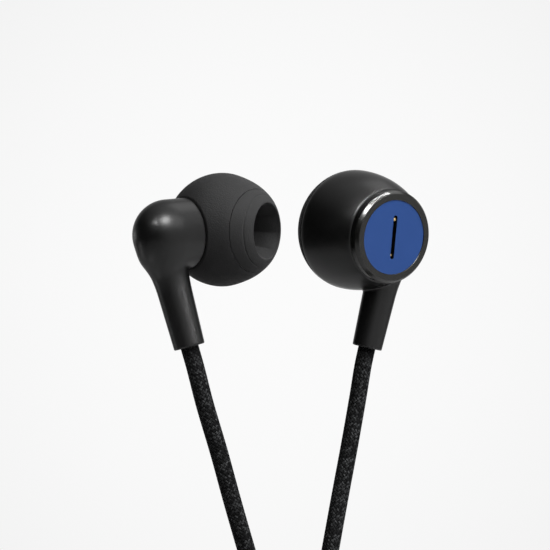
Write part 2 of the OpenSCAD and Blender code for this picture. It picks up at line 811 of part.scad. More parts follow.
module plug_insulator_upper() {
    color("#111111") on_plug(relief_len + grip_len + sleeve_len) cylinder(r = shaft_r, h = insulator_len);
}

module plug_ring() {
    color("#c8a85a") on_plug(relief_len + grip_len + sleeve_len + insulator_len)
        cylinder(r = shaft_r, h = contact_len);
}

module plug_insulator_lower() {
    color("#111111") on_plug(relief_len + grip_len + sleeve_len + insulator_len + contact_len)
        cylinder(r = shaft_r, h = insulator_len);
}

// Tip with the groove that the socket's spring drops into.
module plug_tip() {
    color("#c8a85a") on_plug(relief_len + grip_len + shaft_len - tip_len) rotate_extrude() polygon([
        [0, 0], [shaft_r, 0], [shaft_r, tip_len * 0.17], [shaft_r * 0.77, tip_len * 0.36],
        [shaft_r, tip_len * 0.6], [shaft_r * 0.8, tip_len * 0.79], [shaft_r * 0.43, tip_len * 0.95],
        [0, tip_len]
    ]);
}

// ---------- assembly ----------

left_shell();
left_nozzle();
left_nozzle_mesh();
left_ear_tip();
left_tip_core();
left_basket();
left_yoke();
left_magnet();
left_pole_plate();
left_voice_coil();
left_diaphragm();
left_terminal_board();
left_grommet();
left_crimp();
right_shell();
right_baffle();
right_nozzle_mesh();
right_ear_tip();
right_tip_core();
right_trim_ring();
right_cap();
right_vent_mesh();
right_basket();
right_yoke();
right_magnet();
right_pole_plate();
right_voice_coil();
right_diaphragm();
right_terminal_board();
right_grommet();
right_crimp();
left_cord();
right_cord();
left_hank();
right_hank();
pair_tie();
splitter_shell();
splitter_cap();
splitter_crimp();
main_cord();
main_hank();
main_tie();
plug_relief();
plug_grip();
plug_sleeve();
plug_insulator_upper();
plug_ring();
plug_insulator_lower();
plug_tip();
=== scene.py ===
"""Wired in-ear earphones: finishes, soft tips, blended housings and the braided lead.

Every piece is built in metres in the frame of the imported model, where the origin is the
middle of the left ear tip, +Z is up and -Y is the front.
"""

import json
import math

import bpy
import numpy as np
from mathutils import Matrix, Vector


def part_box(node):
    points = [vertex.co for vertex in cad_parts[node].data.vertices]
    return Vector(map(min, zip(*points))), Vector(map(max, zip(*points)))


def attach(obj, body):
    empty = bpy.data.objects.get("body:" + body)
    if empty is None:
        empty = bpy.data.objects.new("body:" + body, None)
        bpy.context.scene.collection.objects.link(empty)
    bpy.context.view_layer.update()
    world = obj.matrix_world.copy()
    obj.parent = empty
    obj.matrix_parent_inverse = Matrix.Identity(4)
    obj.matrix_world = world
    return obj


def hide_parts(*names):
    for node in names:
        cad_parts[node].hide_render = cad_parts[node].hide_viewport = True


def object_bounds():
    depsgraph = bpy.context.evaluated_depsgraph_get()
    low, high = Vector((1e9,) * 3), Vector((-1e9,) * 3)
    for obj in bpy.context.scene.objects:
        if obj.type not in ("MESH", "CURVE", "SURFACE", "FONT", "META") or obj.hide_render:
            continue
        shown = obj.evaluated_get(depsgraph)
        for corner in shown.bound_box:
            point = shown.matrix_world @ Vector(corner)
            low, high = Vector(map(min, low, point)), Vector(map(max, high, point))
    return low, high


bl_info = {
    "name": "Wired Earphones",
    "version": (1, 0, 0),
    "blender": (4, 5, 0),
    "location": "View3D > Sidebar > Earphones",
    "description": "Builds the finishes, ear tips, housings and lead of wired earphones",
    "category": "Object",
}

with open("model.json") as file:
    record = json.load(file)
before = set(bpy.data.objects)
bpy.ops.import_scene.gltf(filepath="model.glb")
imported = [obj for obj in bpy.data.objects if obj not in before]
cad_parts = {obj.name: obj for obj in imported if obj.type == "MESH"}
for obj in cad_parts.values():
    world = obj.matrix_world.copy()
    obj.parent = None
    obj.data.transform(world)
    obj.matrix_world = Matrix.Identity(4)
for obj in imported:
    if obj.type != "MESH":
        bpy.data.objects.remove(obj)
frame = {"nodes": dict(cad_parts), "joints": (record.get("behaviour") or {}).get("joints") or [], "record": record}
CAD_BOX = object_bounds()
MM = 0.001

MOUNTS = {mount["name"]: mount for mount in frame["record"]["mounts"]}
JOINTS = {joint["name"]: joint for joint in frame["joints"]}
BARREL = np.array(JOINTS["left_tip_pull"]["axis"])
OUTLET = np.array(MOUNTS["left_ear_seat"]["axis"])
RIGHT = np.array(JOINTS["right_tip_pull"]["axis"])
LEFT_MIDDLE = np.array(MOUNTS["left_ear_seat"]["pos_m"])
RIGHT_MIDDLE = np.array(MOUNTS["right_ear_seat"]["pos_m"])
DOWN = np.array([0.0, 0.0, -1.0])
FLANGE_SKEW = math.radians(-9)
FLANGE = np.array([
    math.cos(FLANGE_SKEW) * OUTLET[0] - math.sin(FLANGE_SKEW) * OUTLET[1],
    math.sin(FLANGE_SKEW) * OUTLET[0] + math.cos(FLANGE_SKEW) * OUTLET[1], OUTLET[2]])


# ---------- settings ----------

def length(name, description, millimetres):
    return bpy.props.FloatProperty(
        name=name, description=description, default=millimetres * MM,
        min=0, precision=5, unit="LENGTH", subtype="DISTANCE")


def offset(name, description, millimetres):
    return bpy.props.FloatProperty(
        name=name, description=description, default=millimetres * MM, precision=5, unit="LENGTH")


def level(name, description, value, **limits):
    return bpy.props.FloatProperty(name=name, description=description, default=value, min=0, **limits)


def colour(name, description, value):
    return bpy.props.FloatVectorProperty(
        name=name, description=description, default=value, size=4, min=0, max=1, subtype="COLOR")


class EarphoneSizes(bpy.types.PropertyGroup):
    """Sizes of the pieces that are modelled here. They are the frame's, apart from the
    flange's height and the trim ring's bevel."""

    ball_radius: length("Ball radius", "Radius of the left ear tip", 6.4)
    flange_at: length("Flange height", "From the ball's middle to the flange's edge", 4.44)
    mouth_radius: length("Mouth radius", "Radius of the sound outlets", 3.1)
    throat_radius: length("Throat radius", "Radius of the inner outlet", 2.3)
    barrel_radius: length("Barrel radius", "Radius of the left barrel and its dome", 3.95)
    barrel_length: length("Barrel length", "From the dome's middle to the rim", 2.45)
    barrel_wall: length("Barrel wall", "Wall of the left barrel", 0.55)
    nozzle_radius: length("Nozzle radius", "Outer radius of the sound nozzles", 2.3)
    bell_radius: length("Bell radius", "Largest radius of the right shell", 7.0)
    bell_depth: length("Bell depth", "From the cap's face to the largest radius", 7.7)
    bell_lip: length("Bell lip", "Bell beyond its largest radius", 1.1)
    bell_wall: length("Bell wall", "Wall of the right shell", 0.8)
    dome_depth: length("Dome depth", "Right ear tip beyond the largest radius", 5.7)
    ring_radius: length("Ring radius", "Outer radius of the trim ring", 5.34)
    ring_length: length("Ring length", "Length of the trim ring", 1.3)
    bevel: length("Ring bevel", "Width of the trim ring's bevel", 0.34)
    shoulder: length("Ring shoulder", "Length of the trim ring's bevel", 0.44)
    cap_radius: length("Cap radius", "Radius of the blue cap", 4.28)
    cap_back: length("Cap back", "From the trim ring's front to the plate behind the cap", 0.6)
    slot_length: length("Slot length", "Length of the slot in the cap", 5.05)
    stem_radius: length("Stem radius", "Radius of a stem at its foot", 1.74)
    stem_length: length("Stem length", "Length of a stem", 11.2)
    cord_diameter: length("Cord", "Diameter of a single cord", 2.0)
    main_diameter: length("Main cord", "Diameter of the main cord", 2.4)


class EarphoneFinish(bpy.types.PropertyGroup):
    """Colours of the finishes."""

    shell: colour("Shell black", "Moulded shells and stems", (0.0085, 0.0085, 0.0086, 1))
    silicone: colour("Silicone", "Soft ear tips", (0.07, 0.07, 0.0708, 1))
    core: colour("Firm silicone", "Inner parts of the ear tips", (0.066, 0.066, 0.0668, 1))
    cap: colour("Cap blue", "Painted cap", (0.043, 0.114, 0.385, 1))
    ring: colour("Ring black", "Polished trim ring", (0.0052, 0.0052, 0.0036, 1))
    braid: colour("Braid black", "Braided sleeve of the lead", (0.007, 0.007, 0.0075, 1))
    braid_fleck: colour("Braid fleck", "Light threads in the sleeve", (0.17, 0.175, 0.18, 1))
    gold: colour("Gold", "Plated contacts", (0.83, 0.6, 0.25, 1))
    floor: colour("Floor", "Pale floor", (0.9, 0.9, 0.905, 1))


class StudioSettings(bpy.types.PropertyGroup):
    """Camera and lights."""

    distance: length("Camera distance", "From the camera to the left ear tip", 300)
    view_width: length("View width", "Width of the view at the left ear tip", 61.8)
    aim_x: offset("Aim X", "View centre from the left ear tip, sideways", 5.83)
    aim_z: offset("Aim Z", "View centre from the left ear tip, upwards", -5.09)
    key_glow: level("Key glow", "Brightness of the key softbox", 22)
    spot_glow: level("Spot glow", "Brightness of the gridded spot on the left dome", 0.22)
    wide_glow: level("Wide glow", "Brightness of the wide softbox", 1.2)
    fill_glow: level("Fill glow", "Brightness of the softbox that lights the colours", 5)
    back_glow: level("Back glow", "Brightness of the softbox behind", 0.75)
    strip_glow: level("Strip glow", "Brightness of the gridded strips beside the left stem", 0.02)
    card_glow: level("Card glow", "Brightness of the cards left of the left earpiece", 0.018)
    ring_glow: level("Ring glow", "Brightness of the gridded spots on the trim ring", 0.035)
    ambient: level("Ambient", "Strength of the even light from above", 0.2)
    backdrop: level("Backdrop", "Brightness of the backdrop's middle", 0.965, max=1)
    backdrop_edge: level("Backdrop edge", "Brightness of the backdrop away from its middle", 0.9, max=1)
    floor_bounce: level("Floor bounce", "Share of the floor's colour that bounces back up", 0.42, max=1)
    room: level("Room", "Brightness of the room in reflections", 0.5)


def sizes():
    return bpy.context.scene.earphone_sizes


def finish_of():
    return bpy.context.scene.earphone_finish


def cap_face():
    """Middle of the cap's face."""
    return RIGHT_MIDDLE - sizes().bell_depth * RIGHT


# ---------- geometry helpers, all in metres ----------

FILLET_STEPS = 5
SETTLE_ROUNDS = 9
PROBE = 1e-5


def unit(vector):
    vector = np.asarray(vector, float)
    return vector / np.linalg.norm(vector)


def side_axes(axis):
    """Two unit vectors square to the axis and to each other."""
    axis = unit(axis)
    helper = np.array([0.0, 0.0, 1.0]) if abs(axis[2]) < 0.9 else np.array([1.0, 0.0, 0.0])
    first = unit(np.cross(helper, axis))
    return first, np.cross(axis, first)


def add_mesh(name, points, faces, body, material):
    """A new piece from its points and faces, riding on a body."""
    mesh = bpy.data.meshes.new(name)
    mesh.from_pydata(np.asarray(points).tolist(), [], faces)
    mesh.validate()
    mesh.shade_smooth()
    mesh.materials.append(material)
    piece = bpy.data.objects.new(name, mesh)
    bpy.context.scene.collection.objects.link(piece)
    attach(piece, body)
    return piece


def rounded(corners):
    """A profile from (radius, height, fillet) corners, each fillet as a short arc."""
    line = [np.array(c[:2], float) for c in corners]
    made = []
    for i, corner in enumerate(corners):
        fillet = corner[2] if len(corner) > 2 else 0
        if fillet == 0 or i in (0, len(corners) - 1):
            made.append(line[i])
            continue
        back, ahead = unit(line[i - 1] - line[i]), unit(line[i + 1] - line[i])
        half = math.acos(max(-1, min(1, float(back @ ahead)))) / 2
        reach = fillet / math.tan(half)
        centre = line[i] + unit(back + ahead) * fillet / math.sin(half)
        start, end = line[i] + back * reach - centre, line[i] + ahead * reach - centre
        sweep = math.pi - 2 * half
        for k in range(FILLET_STEPS + 1):
            t = k / FILLET_STEPS
            mix = (math.sin((1 - t) * sweep) * start + math.sin(t * sweep) * end) / math.sin(sweep)
            made.append(centre + mix)
    return made


def turned(profile, origin, axis, segments, closed=False):
    """Points and faces of a profile of (radius, height) turned about an axis."""
    first, second = side_axes(axis)
    axis = unit(axis)
    points, rings = [], []
    for radius, height in profile:
        if radius < 1e-9:
            rings.append([len(points)] * segments)
            points.append(origin + axis * height)
            continue
        rings.append(list(range(len(points), len(points) + segments)))
        for k in range(segments):
            a = 2 * math.pi * k / segments
            points.append(origin + axis * height + radius * (math.cos(a) * first + math.sin(a) * second))
    faces = []
    pairs = list(zip(rings, rings[1:])) + ([(rings[-1], rings[0])] if closed else [])
    for low, high in pairs:
        for k in range(segments):
            n = (k + 1) % segments
            corners = [low[k], low[n], high[n], high[k]]
            face = [c for i, c in enumerate(corners) if c != corners[i - 1]]
            if len(set(face)) > 2:
                faces.append(face)
    return points, faces


def weighted_normals(piece):
    """Keeps flat faces flat beside small fillets."""
    piece.modifiers.new("weighted_normals", "WEIGHTED_NORMAL").keep_sharp = True
    return piece


def surface_net(field, low, high, step):
    """Points and quads of the surface where the field is zero."""
    count = np.ceil((np.array(high) - low) / step).astype(int) + 1
    cells = count - 1
    lines = [low[a] + step * np.arange(count[a]) for a in range(3)]
    grid = np.stack(np.meshgrid(*lines, indexing="ij"), -1)
    value = field(grid.reshape(-1, 3)).reshape(count)
    total, hits = np.zeros((*cells, 3)), np.zeros(cells)
    crossings = []
    for axis in range(3):
        head = [slice(None)] * 3
        tail = [slice(None)] * 3
        head[axis], tail[axis] = slice(0, -1), slice(1, None)
        a, b = value[tuple(head)], value[tuple(tail)]
        crosses = (a < 0) != (b < 0)
        spot = grid[tuple(head)].copy()
        spot[..., axis] += step * np.where(crosses, a / np.where(crosses, a - b, 1), 0)
        crossings.append((crosses, a < 0))
        others = [o for o in range(3) if o != axis]
        for shift in ((0, 0), (0, 1), (1, 0), (1, 1)):
            part = [slice(None)] * 3
            for other, by in zip(others, shift):
                part[other] = slice(by, by + cells[other])
            touched = crosses[tuple(part)]
            total += np.where(touched[..., None], spot[tuple(part)], 0)
            hits += touched
    active = hits > 0
    index = np.full(cells, -1)
    index[active] = np.arange(active.sum())
    points = total[active] / hits[active][:, None]
    quads = []
    for axis, (crosses, starts_inside) in enumerate(crossings):
        others = [o for o in range(3) if o != axis]
        inner = [slice(None)] * 3
        for other in others:
            inner[other] = slice(1, cells[other])
        chosen, flips = crosses[tuple(inner)], starts_inside[tuple(inner)] ^ (axis == 1)
        loop = []
        for shift in ((1, 1), (0, 1), (0, 0), (1, 0)):
            part = [slice(None)] * 3
            for other, by in zip(others, shift):
                part[other] = slice(1 - by, cells[other] - by)
            loop.append(index[tuple(part)][chosen])
        quad = np.stack(loop, -1)
        turn = ~flips[chosen]
        quad[turn] = quad[turn][:, ::-1]
        quads.append(quad)
    return points, np.concatenate(quads)


def settle(field, points, quads):
    """Evens the points out and draws them onto the surface where the field is zero."""
    starts = np.concatenate([quads[:, k] for k in range(4)])
    ends = np.concatenate([quads[:, (k + 1) % 4] for k in range(4)])
    degree = np.bincount(starts, minlength=len(points)) + np.bincount(ends, minlength=len(points))
    for turn in range(SETTLE_ROUNDS):
        if turn < SETTLE_ROUNDS - 1:
            near = np.zeros_like(points)
            for axis in range(3):
                near[:, axis] = (
                    np.bincount(starts, points[ends, axis], len(points))
                    + np.bincount(ends, points[starts, axis], len(points)))
            points = points * 0.5 + near / degree[:, None] * 0.5
        for _ in range(2):
            here = field(points)
            slope = np.stack([
                (field(points + PROBE * np.eye(3)[a]) - field(points - PROBE * np.eye(3)[a])) / (2 * PROBE)
                for a in range(3)], -1)
            steep = np.maximum((slope ** 2).sum(1), 0.25)
            points = points - slope * (here / steep)[:, None]
    return points


def along(points, origin, axis):
    """Height along an axis and distance from it."""
    away = points - origin
    height = away @ axis
    return height, np.sqrt(np.maximum((away ** 2).sum(1) - height ** 2, 0))


def rod(points, origin, axis, low, high, radius, fillet=0.0):
    """Distance to a rod between two heights, with its edges rounded; the radius may vary."""
    height, out = along(points, origin, axis)
    wide = out - (radius(height) if callable(radius) else radius) + fillet
    tall = np.abs(height - (low + high) / 2) - (high - low) / 2 + fillet
    outside = np.hypot(np.maximum(wide, 0), np.maximum(tall, 0))
    return outside + np.minimum(np.maximum(wide, tall), 0) - fillet


def melt(a, b, reach):
    """Union of two fields with a smooth fillet."""
    blend = np.maximum(reach - np.abs(a - b), 0) / reach
    return np.minimum(a, b) - blend ** 2 * reach / 4


# ---------- materials ----------

def new_material(name):
    material = bpy.data.materials.new(name)
    material.use_nodes = True
    nodes = material.node_tree.nodes
    return material, nodes, material.node_tree.links, nodes["Principled BSDF"]


def noise(nodes, links, source, scale, detail):
    texture = nodes.new("ShaderNodeTexNoise")
    texture.inputs["Scale"].default_value = scale
    texture.inputs["Detail"].default_value = detail
    links.new(source, texture.inputs["Vector"])
    return texture.outputs["Fac"]


def ranged(nodes, links, source, low, high, new_low, new_high):
    node = nodes.new("ShaderNodeMapRange")
    for name, value in (("From Min", low), ("From Max", high), ("To Min", new_low), ("To Max", new_high)):
        node.inputs[name].default_value = value
    links.new(source, node.inputs["Value"])
    return node.outputs["Result"]


def maths(nodes, links, operation, a, b=None):
    node = nodes.new("ShaderNodeMath")
    node.operation = operation
    for socket, value in zip(node.inputs, (a, b)):
        if value is None:
            continue
        if isinstance(value, (int, float)):
            socket.default_value = value
        else:
            links.new(value, socket)
    return node.outputs["Value"]


def mixed(nodes, links, share, a, b):
    node = nodes.new("ShaderNodeMix")
    node.data_type = "RGBA"
    links.new(share, node.inputs["Factor"])
    for socket, value in zip([s for s in node.inputs if s.type == "RGBA"], (a, b)):
        if hasattr(value, "links"):
            links.new(value, socket)
        else:
            socket.default_value = value
    return [s for s in node.outputs if s.type == "RGBA"][0]


def shaded(rgba, factor):
    return (*[min(1.0, c * factor) for c in rgba[:3]], 1.0)


CLOUD_SCALE = 180.0


def surface(name, rgba, rough, grain, grain_height, rough_spread=0.05, metallic=0.0,
            specular=0.5, shade_spread=0.12, sheen=0.0):
    """A finish with fine grain in its bump, slow clouds in its colour and fine grain in its
    gloss. The grain's size and height are in millimetres."""
    material, nodes, links, shader = new_material(name)
    place = nodes.new("ShaderNodeTexCoord").outputs["Object"]
    clouds = noise(nodes, links, place, CLOUD_SCALE, 4.0)
    tone = mixed(nodes, links, ranged(nodes, links, clouds, 0.3, 0.7, 0, 1),
                 shaded(rgba, 1 - shade_spread), shaded(rgba, 1 + shade_spread))
    links.new(tone, shader.inputs["Base Color"])
    fine = noise(nodes, links, place, 1 / (grain * MM), 2.0)
    links.new(ranged(nodes, links, fine, 0.3, 0.7, rough - rough_spread, rough + rough_spread),
              shader.inputs["Roughness"])
    bump = nodes.new("ShaderNodeBump")
    bump.inputs["Distance"].default_value = grain_height * MM
    bump.inputs["Strength"].default_value = 1.0
    links.new(fine, bump.inputs["Height"])
    links.new(bump.outputs["Normal"], shader.inputs["Normal"])
    shader.inputs["Metallic"].default_value = metallic
    shader.inputs["Specular IOR Level"].default_value = specular
    shader.inputs["Sheen Weight"].default_value = sheen
    shader.inputs["Sheen Roughness"].default_value = 0.4
    return material


def depth_share(nodes, links, low, high):
    """From 0 to 1 between two depths behind the cap's face."""
    height = nodes.new("ShaderNodeVectorMath")
    height.operation = "DOT_PRODUCT"
    links.new(nodes.new("ShaderNodeTexCoord").outputs["Object"], height.inputs[0])
    height.inputs[1].default_value = RIGHT
    face = float(cap_face() @ RIGHT)
    return ranged(nodes, links, height.outputs["Value"], face + low, face + high, 0, 1)


def painted_depth_shade(material, low, high, dark):
    """Paints shade: lets a finish give way to a dark colour between two depths behind the cap's face, darker
    deeper in the slot.
    """
    nodes, links = material.node_tree.nodes, material.node_tree.links
    tone = nodes["Principled BSDF"].inputs["Base Color"]
    finish = tone.links[0].from_socket
    links.new(mixed(nodes, links, depth_share(nodes, links, low, high), finish, dark), tone)
    return material


def studs_material(name):
    """Plated studs on a plate behind the cap; the plate and the studs' lower parts are painted near black as shade
    deep in the slot.
    """
    plate = sizes().cap_back - 0.15 * MM
    # Painted shade: deeper than the studs' crowns the gold gives way to near black.
    return painted_depth_shade(surface(name, finish_of().gold, 0.35, 0.06, 0.004, metallic=0.6),
                       plate - 0.1 * MM, plate, (0.006, 0.005, 0.003, 1))


def cap_material(name):
    """Blue painted face; a little way behind it the cap's sides and the slot's walls are painted near black as
    shade.
    """
    paint = surface(name, finish_of().cap, 0.5, 0.06, 0.001, 0.04, specular=0.25, shade_spread=0.02)
    # Painted shade: from 0.12 mm behind the face the slot's walls and the cap's sides turn near black.
    return painted_depth_shade(paint, 0.12 * MM, 0.15 * MM, (0.004, 0.004, 0.004, 1))


STRANDS = 14
BRAID_ROW = 0.46 * MM


def braid_material(name):
    """Woven sleeve: two sets of strands that pass over and under each other, with light flecks: light threads at
    random, painted brightest on the strands' crowns and absent where the strands dip, partly a painted highlight.
    """
    colours = finish_of()
    material, nodes, links, shader = new_material(name)
    uv = nodes.new("ShaderNodeUVMap")
    uv.uv_map = "braid"
    split = nodes.new("ShaderNodeSeparateXYZ")
    links.new(uv.outputs["UV"], split.inputs["Vector"])
    around = maths(nodes, links, "MULTIPLY", split.outputs["X"], STRANDS)
    down = split.outputs["Y"]
    rising = maths(nodes, links, "ADD", around, down)
    falling = maths(nodes, links, "SUBTRACT", around, down)

    def crown(lane):
        """Rounded height across one strand."""
        saw = maths(nodes, links, "FRACT", lane)
        off = maths(nodes, links, "ABSOLUTE", maths(nodes, links, "SUBTRACT", saw, 0.5))
        return maths(nodes, links, "SUBTRACT", 1.0, maths(nodes, links, "POWER",
                     maths(nodes, links, "MULTIPLY", off, 2.0), 2.0))

    rows = maths(nodes, links, "ADD", maths(nodes, links, "FLOOR", rising),
                 maths(nodes, links, "FLOOR", falling))
    over = maths(nodes, links, "PINGPONG", rows, 1.0)
    crowns = nodes.new("ShaderNodeMix")
    crowns.data_type = "FLOAT"
    links.new(over, crowns.inputs[0])
    links.new(crown(rising), crowns.inputs[2])
    links.new(crown(falling), crowns.inputs[3])
    height = crowns.outputs[0]

    cell = nodes.new("ShaderNodeCombineXYZ")
    links.new(maths(nodes, links, "FLOOR", rising), cell.inputs["X"])
    links.new(maths(nodes, links, "FLOOR", falling), cell.inputs["Y"])
    chance = nodes.new("ShaderNodeTexWhiteNoise")
    chance.noise_dimensions = "3D"
    links.new(cell.outputs["Vector"], chance.inputs["Vector"])
    fibres = nodes.new("ShaderNodeCombineXYZ")
    links.new(maths(nodes, links, "MULTIPLY", rising, 5.0), fibres.inputs["X"])
    links.new(maths(nodes, links, "MULTIPLY", falling, 5.0), fibres.inputs["Y"])
    strands = noise(nodes, links, fibres.outputs["Vector"], 1.0, 3.0)

    # Flecks: light threads at random, partly painted highlight: they show on the strands' crowns and fade to the
    # black braid where the strands dip under.
    light = maths(nodes, links, "MULTIPLY", ranged(nodes, links, chance.outputs["Value"], 0.45, 1, 0, 1),
                  maths(nodes, links, "MULTIPLY", ranged(nodes, links, height, 0.35, 0.95, 0, 1),
                        ranged(nodes, links, strands, 0.35, 0.65, 0.1, 1)))
    links.new(mixed(nodes, links, light, tuple(colours.braid), tuple(colours.braid_fleck)),
              shader.inputs["Base Color"])
    shader.inputs["Roughness"].default_value = 0.62
    shader.inputs["Specular IOR Level"].default_value = 0.1
    bump = nodes.new("ShaderNodeBump")
    bump.inputs["Distance"].default_value = 0.06 * MM
    links.new(maths(nodes, links, "ADD", height, maths(nodes, links, "MULTIPLY", strands, 0.35)),
              bump.inputs["Height"])
    links.new(bump.outputs["Normal"], shader.inputs["Normal"])
    return material


METAL = {"metallic": 1.0}
GRAIN = 0.18


def plain_finishes():
    """Colour, roughness, grain size, grain height and what differs from usual, by slot."""
    colours = finish_of()
    return {
        "shell_black": (colours.shell, 0.33, GRAIN, 0.0004, {"rough_spread": 0.02}),
        "bell_satin": (colours.shell, 0.31, 0.1, 0.0006, {"rough_spread": 0.02}),
        "tip_silicone": (colours.silicone, 0.6, 0.14, 0.045, {"rough_spread": 0.06, "specular": 0.07}),
        "core_silicone": (colours.core, 0.55, 0.14, 0.03, {"specular": 0.07}),
        "nozzle_black": (shaded(colours.shell, 1.6), 0.42, GRAIN, 0.003, {}),
        "steel_mesh": ((0.35, 0.35, 0.36, 1), 0.35, 0.05, 0.02, METAL),
        "ring_black": (colours.ring, 0.24, GRAIN, 0.00008, {"rough_spread": 0.02, "specular": 0.75}),
        "basket_grey": ((0.05, 0.05, 0.055, 1), 0.5, GRAIN, 0.002, {}),
        "plated_steel": ((0.5, 0.5, 0.51, 1), 0.3, GRAIN, 0.001, METAL),
        "magnet_grey": ((0.3, 0.3, 0.31, 1), 0.35, GRAIN, 0.001, METAL),
        "copper_wire": ((0.7, 0.3, 0.12, 1), 0.35, GRAIN, 0.002, METAL),
        "film_clear": ((0.45, 0.38, 0.22, 1), 0.3, GRAIN, 0.001, {}),
        "board_green": ((0.02, 0.12, 0.045, 1), 0.4, GRAIN, 0.001, {}),
        "rubber_black": ((0.015, 0.015, 0.015, 1), 0.7, GRAIN, 0.006, {}),
        "crimp_brass": ((0.6, 0.45, 0.2, 1), 0.35, GRAIN, 0.001, METAL),
        "strap_black": ((0.012, 0.012, 0.013, 1), 0.75, 0.1, 0.03, {"sheen": 0.2}),
        "contact_gold": (colours.gold, 0.2, GRAIN, 0.0006, METAL),
    }


SPECIAL_FINISHES = {"cap_blue": cap_material, "gold_mesh": studs_material, "braid": braid_material}


def material_of(slot):
    """The Blender material for a slot of the record, made once."""
    name = "finish_" + slot
    made = bpy.data.materials.get(name)
    if made:
        return made
    if slot in SPECIAL_FINISHES:
        return SPECIAL_FINISHES[slot](name)
    rgba, rough, grain, height, more = plain_finishes()[slot]
    return surface(name, rgba, rough, grain, height, **more)


# ---------- lead ----------

LEFT_ROUTE = np.array([
    (-3.1, -4.4, -14.9), (-2, -4.3, -19.2), (-0.4, -3.8, -24.7), (1.1, -3, -30.3),
    (2.7, -2, -36), (4.2, -0.9, -41.2), (5.5, 0.2, -46), (6.6, 1.1, -50.2), (7.1, 1.5, -54),
]) * MM
RIGHT_ROUTE = np.array([
    (16.2, 11.2, -15.1), (15.5, 10.8, -19.2), (14.5, 9.8, -24.7), (13.4, 8.3, -30.3),
    (12.3, 6.6, -36), (11.3, 4.9, -41.2), (10.4, 3.3, -46), (9.8, 2.1, -50.2), (9.7, 1.5, -54),
]) * MM
MAIN_ROUTE = np.array([
    (8.4, 9, -109), (8.4, 9, -111.4), (7.5, 9, -115.2), (4.9, 9, -118.7), (2.3, 9, -122.2),
    (1, 9, -126), (0.9, 9, -129.4),
]) * MM
LEFT_FOOT = np.array((-3.6333, -4.3836, -13.0525)) * MM
RIGHT_FOOT = np.array((16.55, 11.3, -13.55)) * MM
LEFT_LEAN = math.radians(15)
RIGHT_LEAN = math.radians(-12.9)
CORD_INSET = 0.25 * MM
ROUTE_STEP = 0.3 * MM
MAIN_ROUTE_STEP = 0.4 * MM
SEEN_DOWN_TO = -38 * MM
SINGLE_HANK = {"run": 30 * MM, "turn_radius": 6 * MM, "waist": 1.6 * MM, "pitch": 2.5 * MM,
               "loops": 3, "tail": 10 * MM}
MAIN_HANK = {"run": 37.5 * MM, "turn_radius": 7.5 * MM, "waist": 2 * MM, "pitch": -2.9 * MM,
             "loops": 6, "tail": 4 * MM}
RUN_STEPS = 12
TURN_STEPS = 24


def stem_axis(lean):
    return np.array([-math.sin(lean), 0.0, math.cos(lean)])


def ease(share):
    return share * share * (3 - 2 * share)


def hank(start, lead, side, run, turn_radius, waist, pitch, loops, tail):
    """Centreline of a tied hank: runs up and down with half turns between them."""
    line = [np.zeros(3)]
    drop = np.array([0.0, 0.0, -lead])
    for wrap in range(loops):
        for i in range(RUN_STEPS):
            line.append(drop + (0, wrap * pitch, -run * (i + 1) / RUN_STEPS))
        for i in range(TURN_STEPS):
            a = math.pi * (i + 1) / TURN_STEPS
            line.append(drop + (side * turn_radius * (1 - math.cos(a)), wrap * pitch,
                                -run - turn_radius * math.sin(a)))
        for i in range(RUN_STEPS):
            f = (i + 1) / RUN_STEPS
            line.append(drop + (side * (2 * turn_radius - waist * math.sin(math.pi * f) ** 2),
                                (wrap + ease(f)) * pitch, -run * (1 - f)))
        for i in range(TURN_STEPS):
            a = math.pi * (i + 1) / TURN_STEPS
            line.append(drop + (side * turn_radius * (1 + math.cos(a)), (wrap + 1) * pitch,
                                turn_radius * math.sin(a)))
    for i in range(RUN_STEPS):
        line.append(drop + (0, loops * pitch, -run * (i + 1) / RUN_STEPS))
    line.append(drop + (0, loops * pitch, -run - tail))
    return [start + p for p in line]


def spline(points, first, last, spacing):
    """A smooth curve through the points, leaving and arriving in given directions."""
    points = np.asarray(points)
    gaps = np.linalg.norm(np.diff(points, axis=0), axis=1)
    slopes = np.zeros_like(points)
    slopes[0], slopes[-1] = first, last
    for i in range(1, len(points) - 1):
        before, after = (points[i] - points[i - 1]) / gaps[i - 1], (points[i + 1] - points[i]) / gaps[i]
        slopes[i] = (before * gaps[i] + after * gaps[i - 1]) / (gaps[i] + gaps[i - 1])
    line = []
    for i, gap in enumerate(gaps):
        steps = max(2, round(gap / spacing))
        for k in range(steps):
            t = k / steps
            line.append(
                (2 * t ** 3 - 3 * t ** 2 + 1) * points[i] + (t ** 3 - 2 * t ** 2 + t) * gap * slopes[i]
                + (3 * t ** 2 - 2 * t ** 3) * points[i + 1] + (t ** 3 - t ** 2) * gap * slopes[i + 1])
    line.append(points[-1])
    return line


def evenly(line, spacing):
    """Points at even steps along a polyline."""
    line = np.asarray(line)
    travelled = np.concatenate([[0], np.cumsum(np.linalg.norm(np.diff(line, axis=0), axis=1))])
    steps = max(2, int(round(travelled[-1] / spacing)))
    marks = np.linspace(0, travelled[-1], steps + 1)
    return np.stack([np.interp(marks, travelled, line[:, a]) for a in range(3)], -1)


SEEN_SIDES = 96
HIDDEN_SIDES = 32
SEEN_STEP = 0.09 * MM
HIDDEN_STEP = 0.6 * MM
STRAND_RELIEF = 0.03 * MM


def strand_height(around, down):
    """Height of the woven strands, from 0 to 1, at a turn around and a row down the cord."""
    rising, falling = around * STRANDS + down, around * STRANDS - down
    over = (np.floor(rising) + np.floor(falling)) % 2
    crowns = [1 - (2 * np.abs(lane % 1 - 0.5)) ** 2 for lane in (rising, falling)]
    return np.where(over < 1, crowns[0], crowns[1])


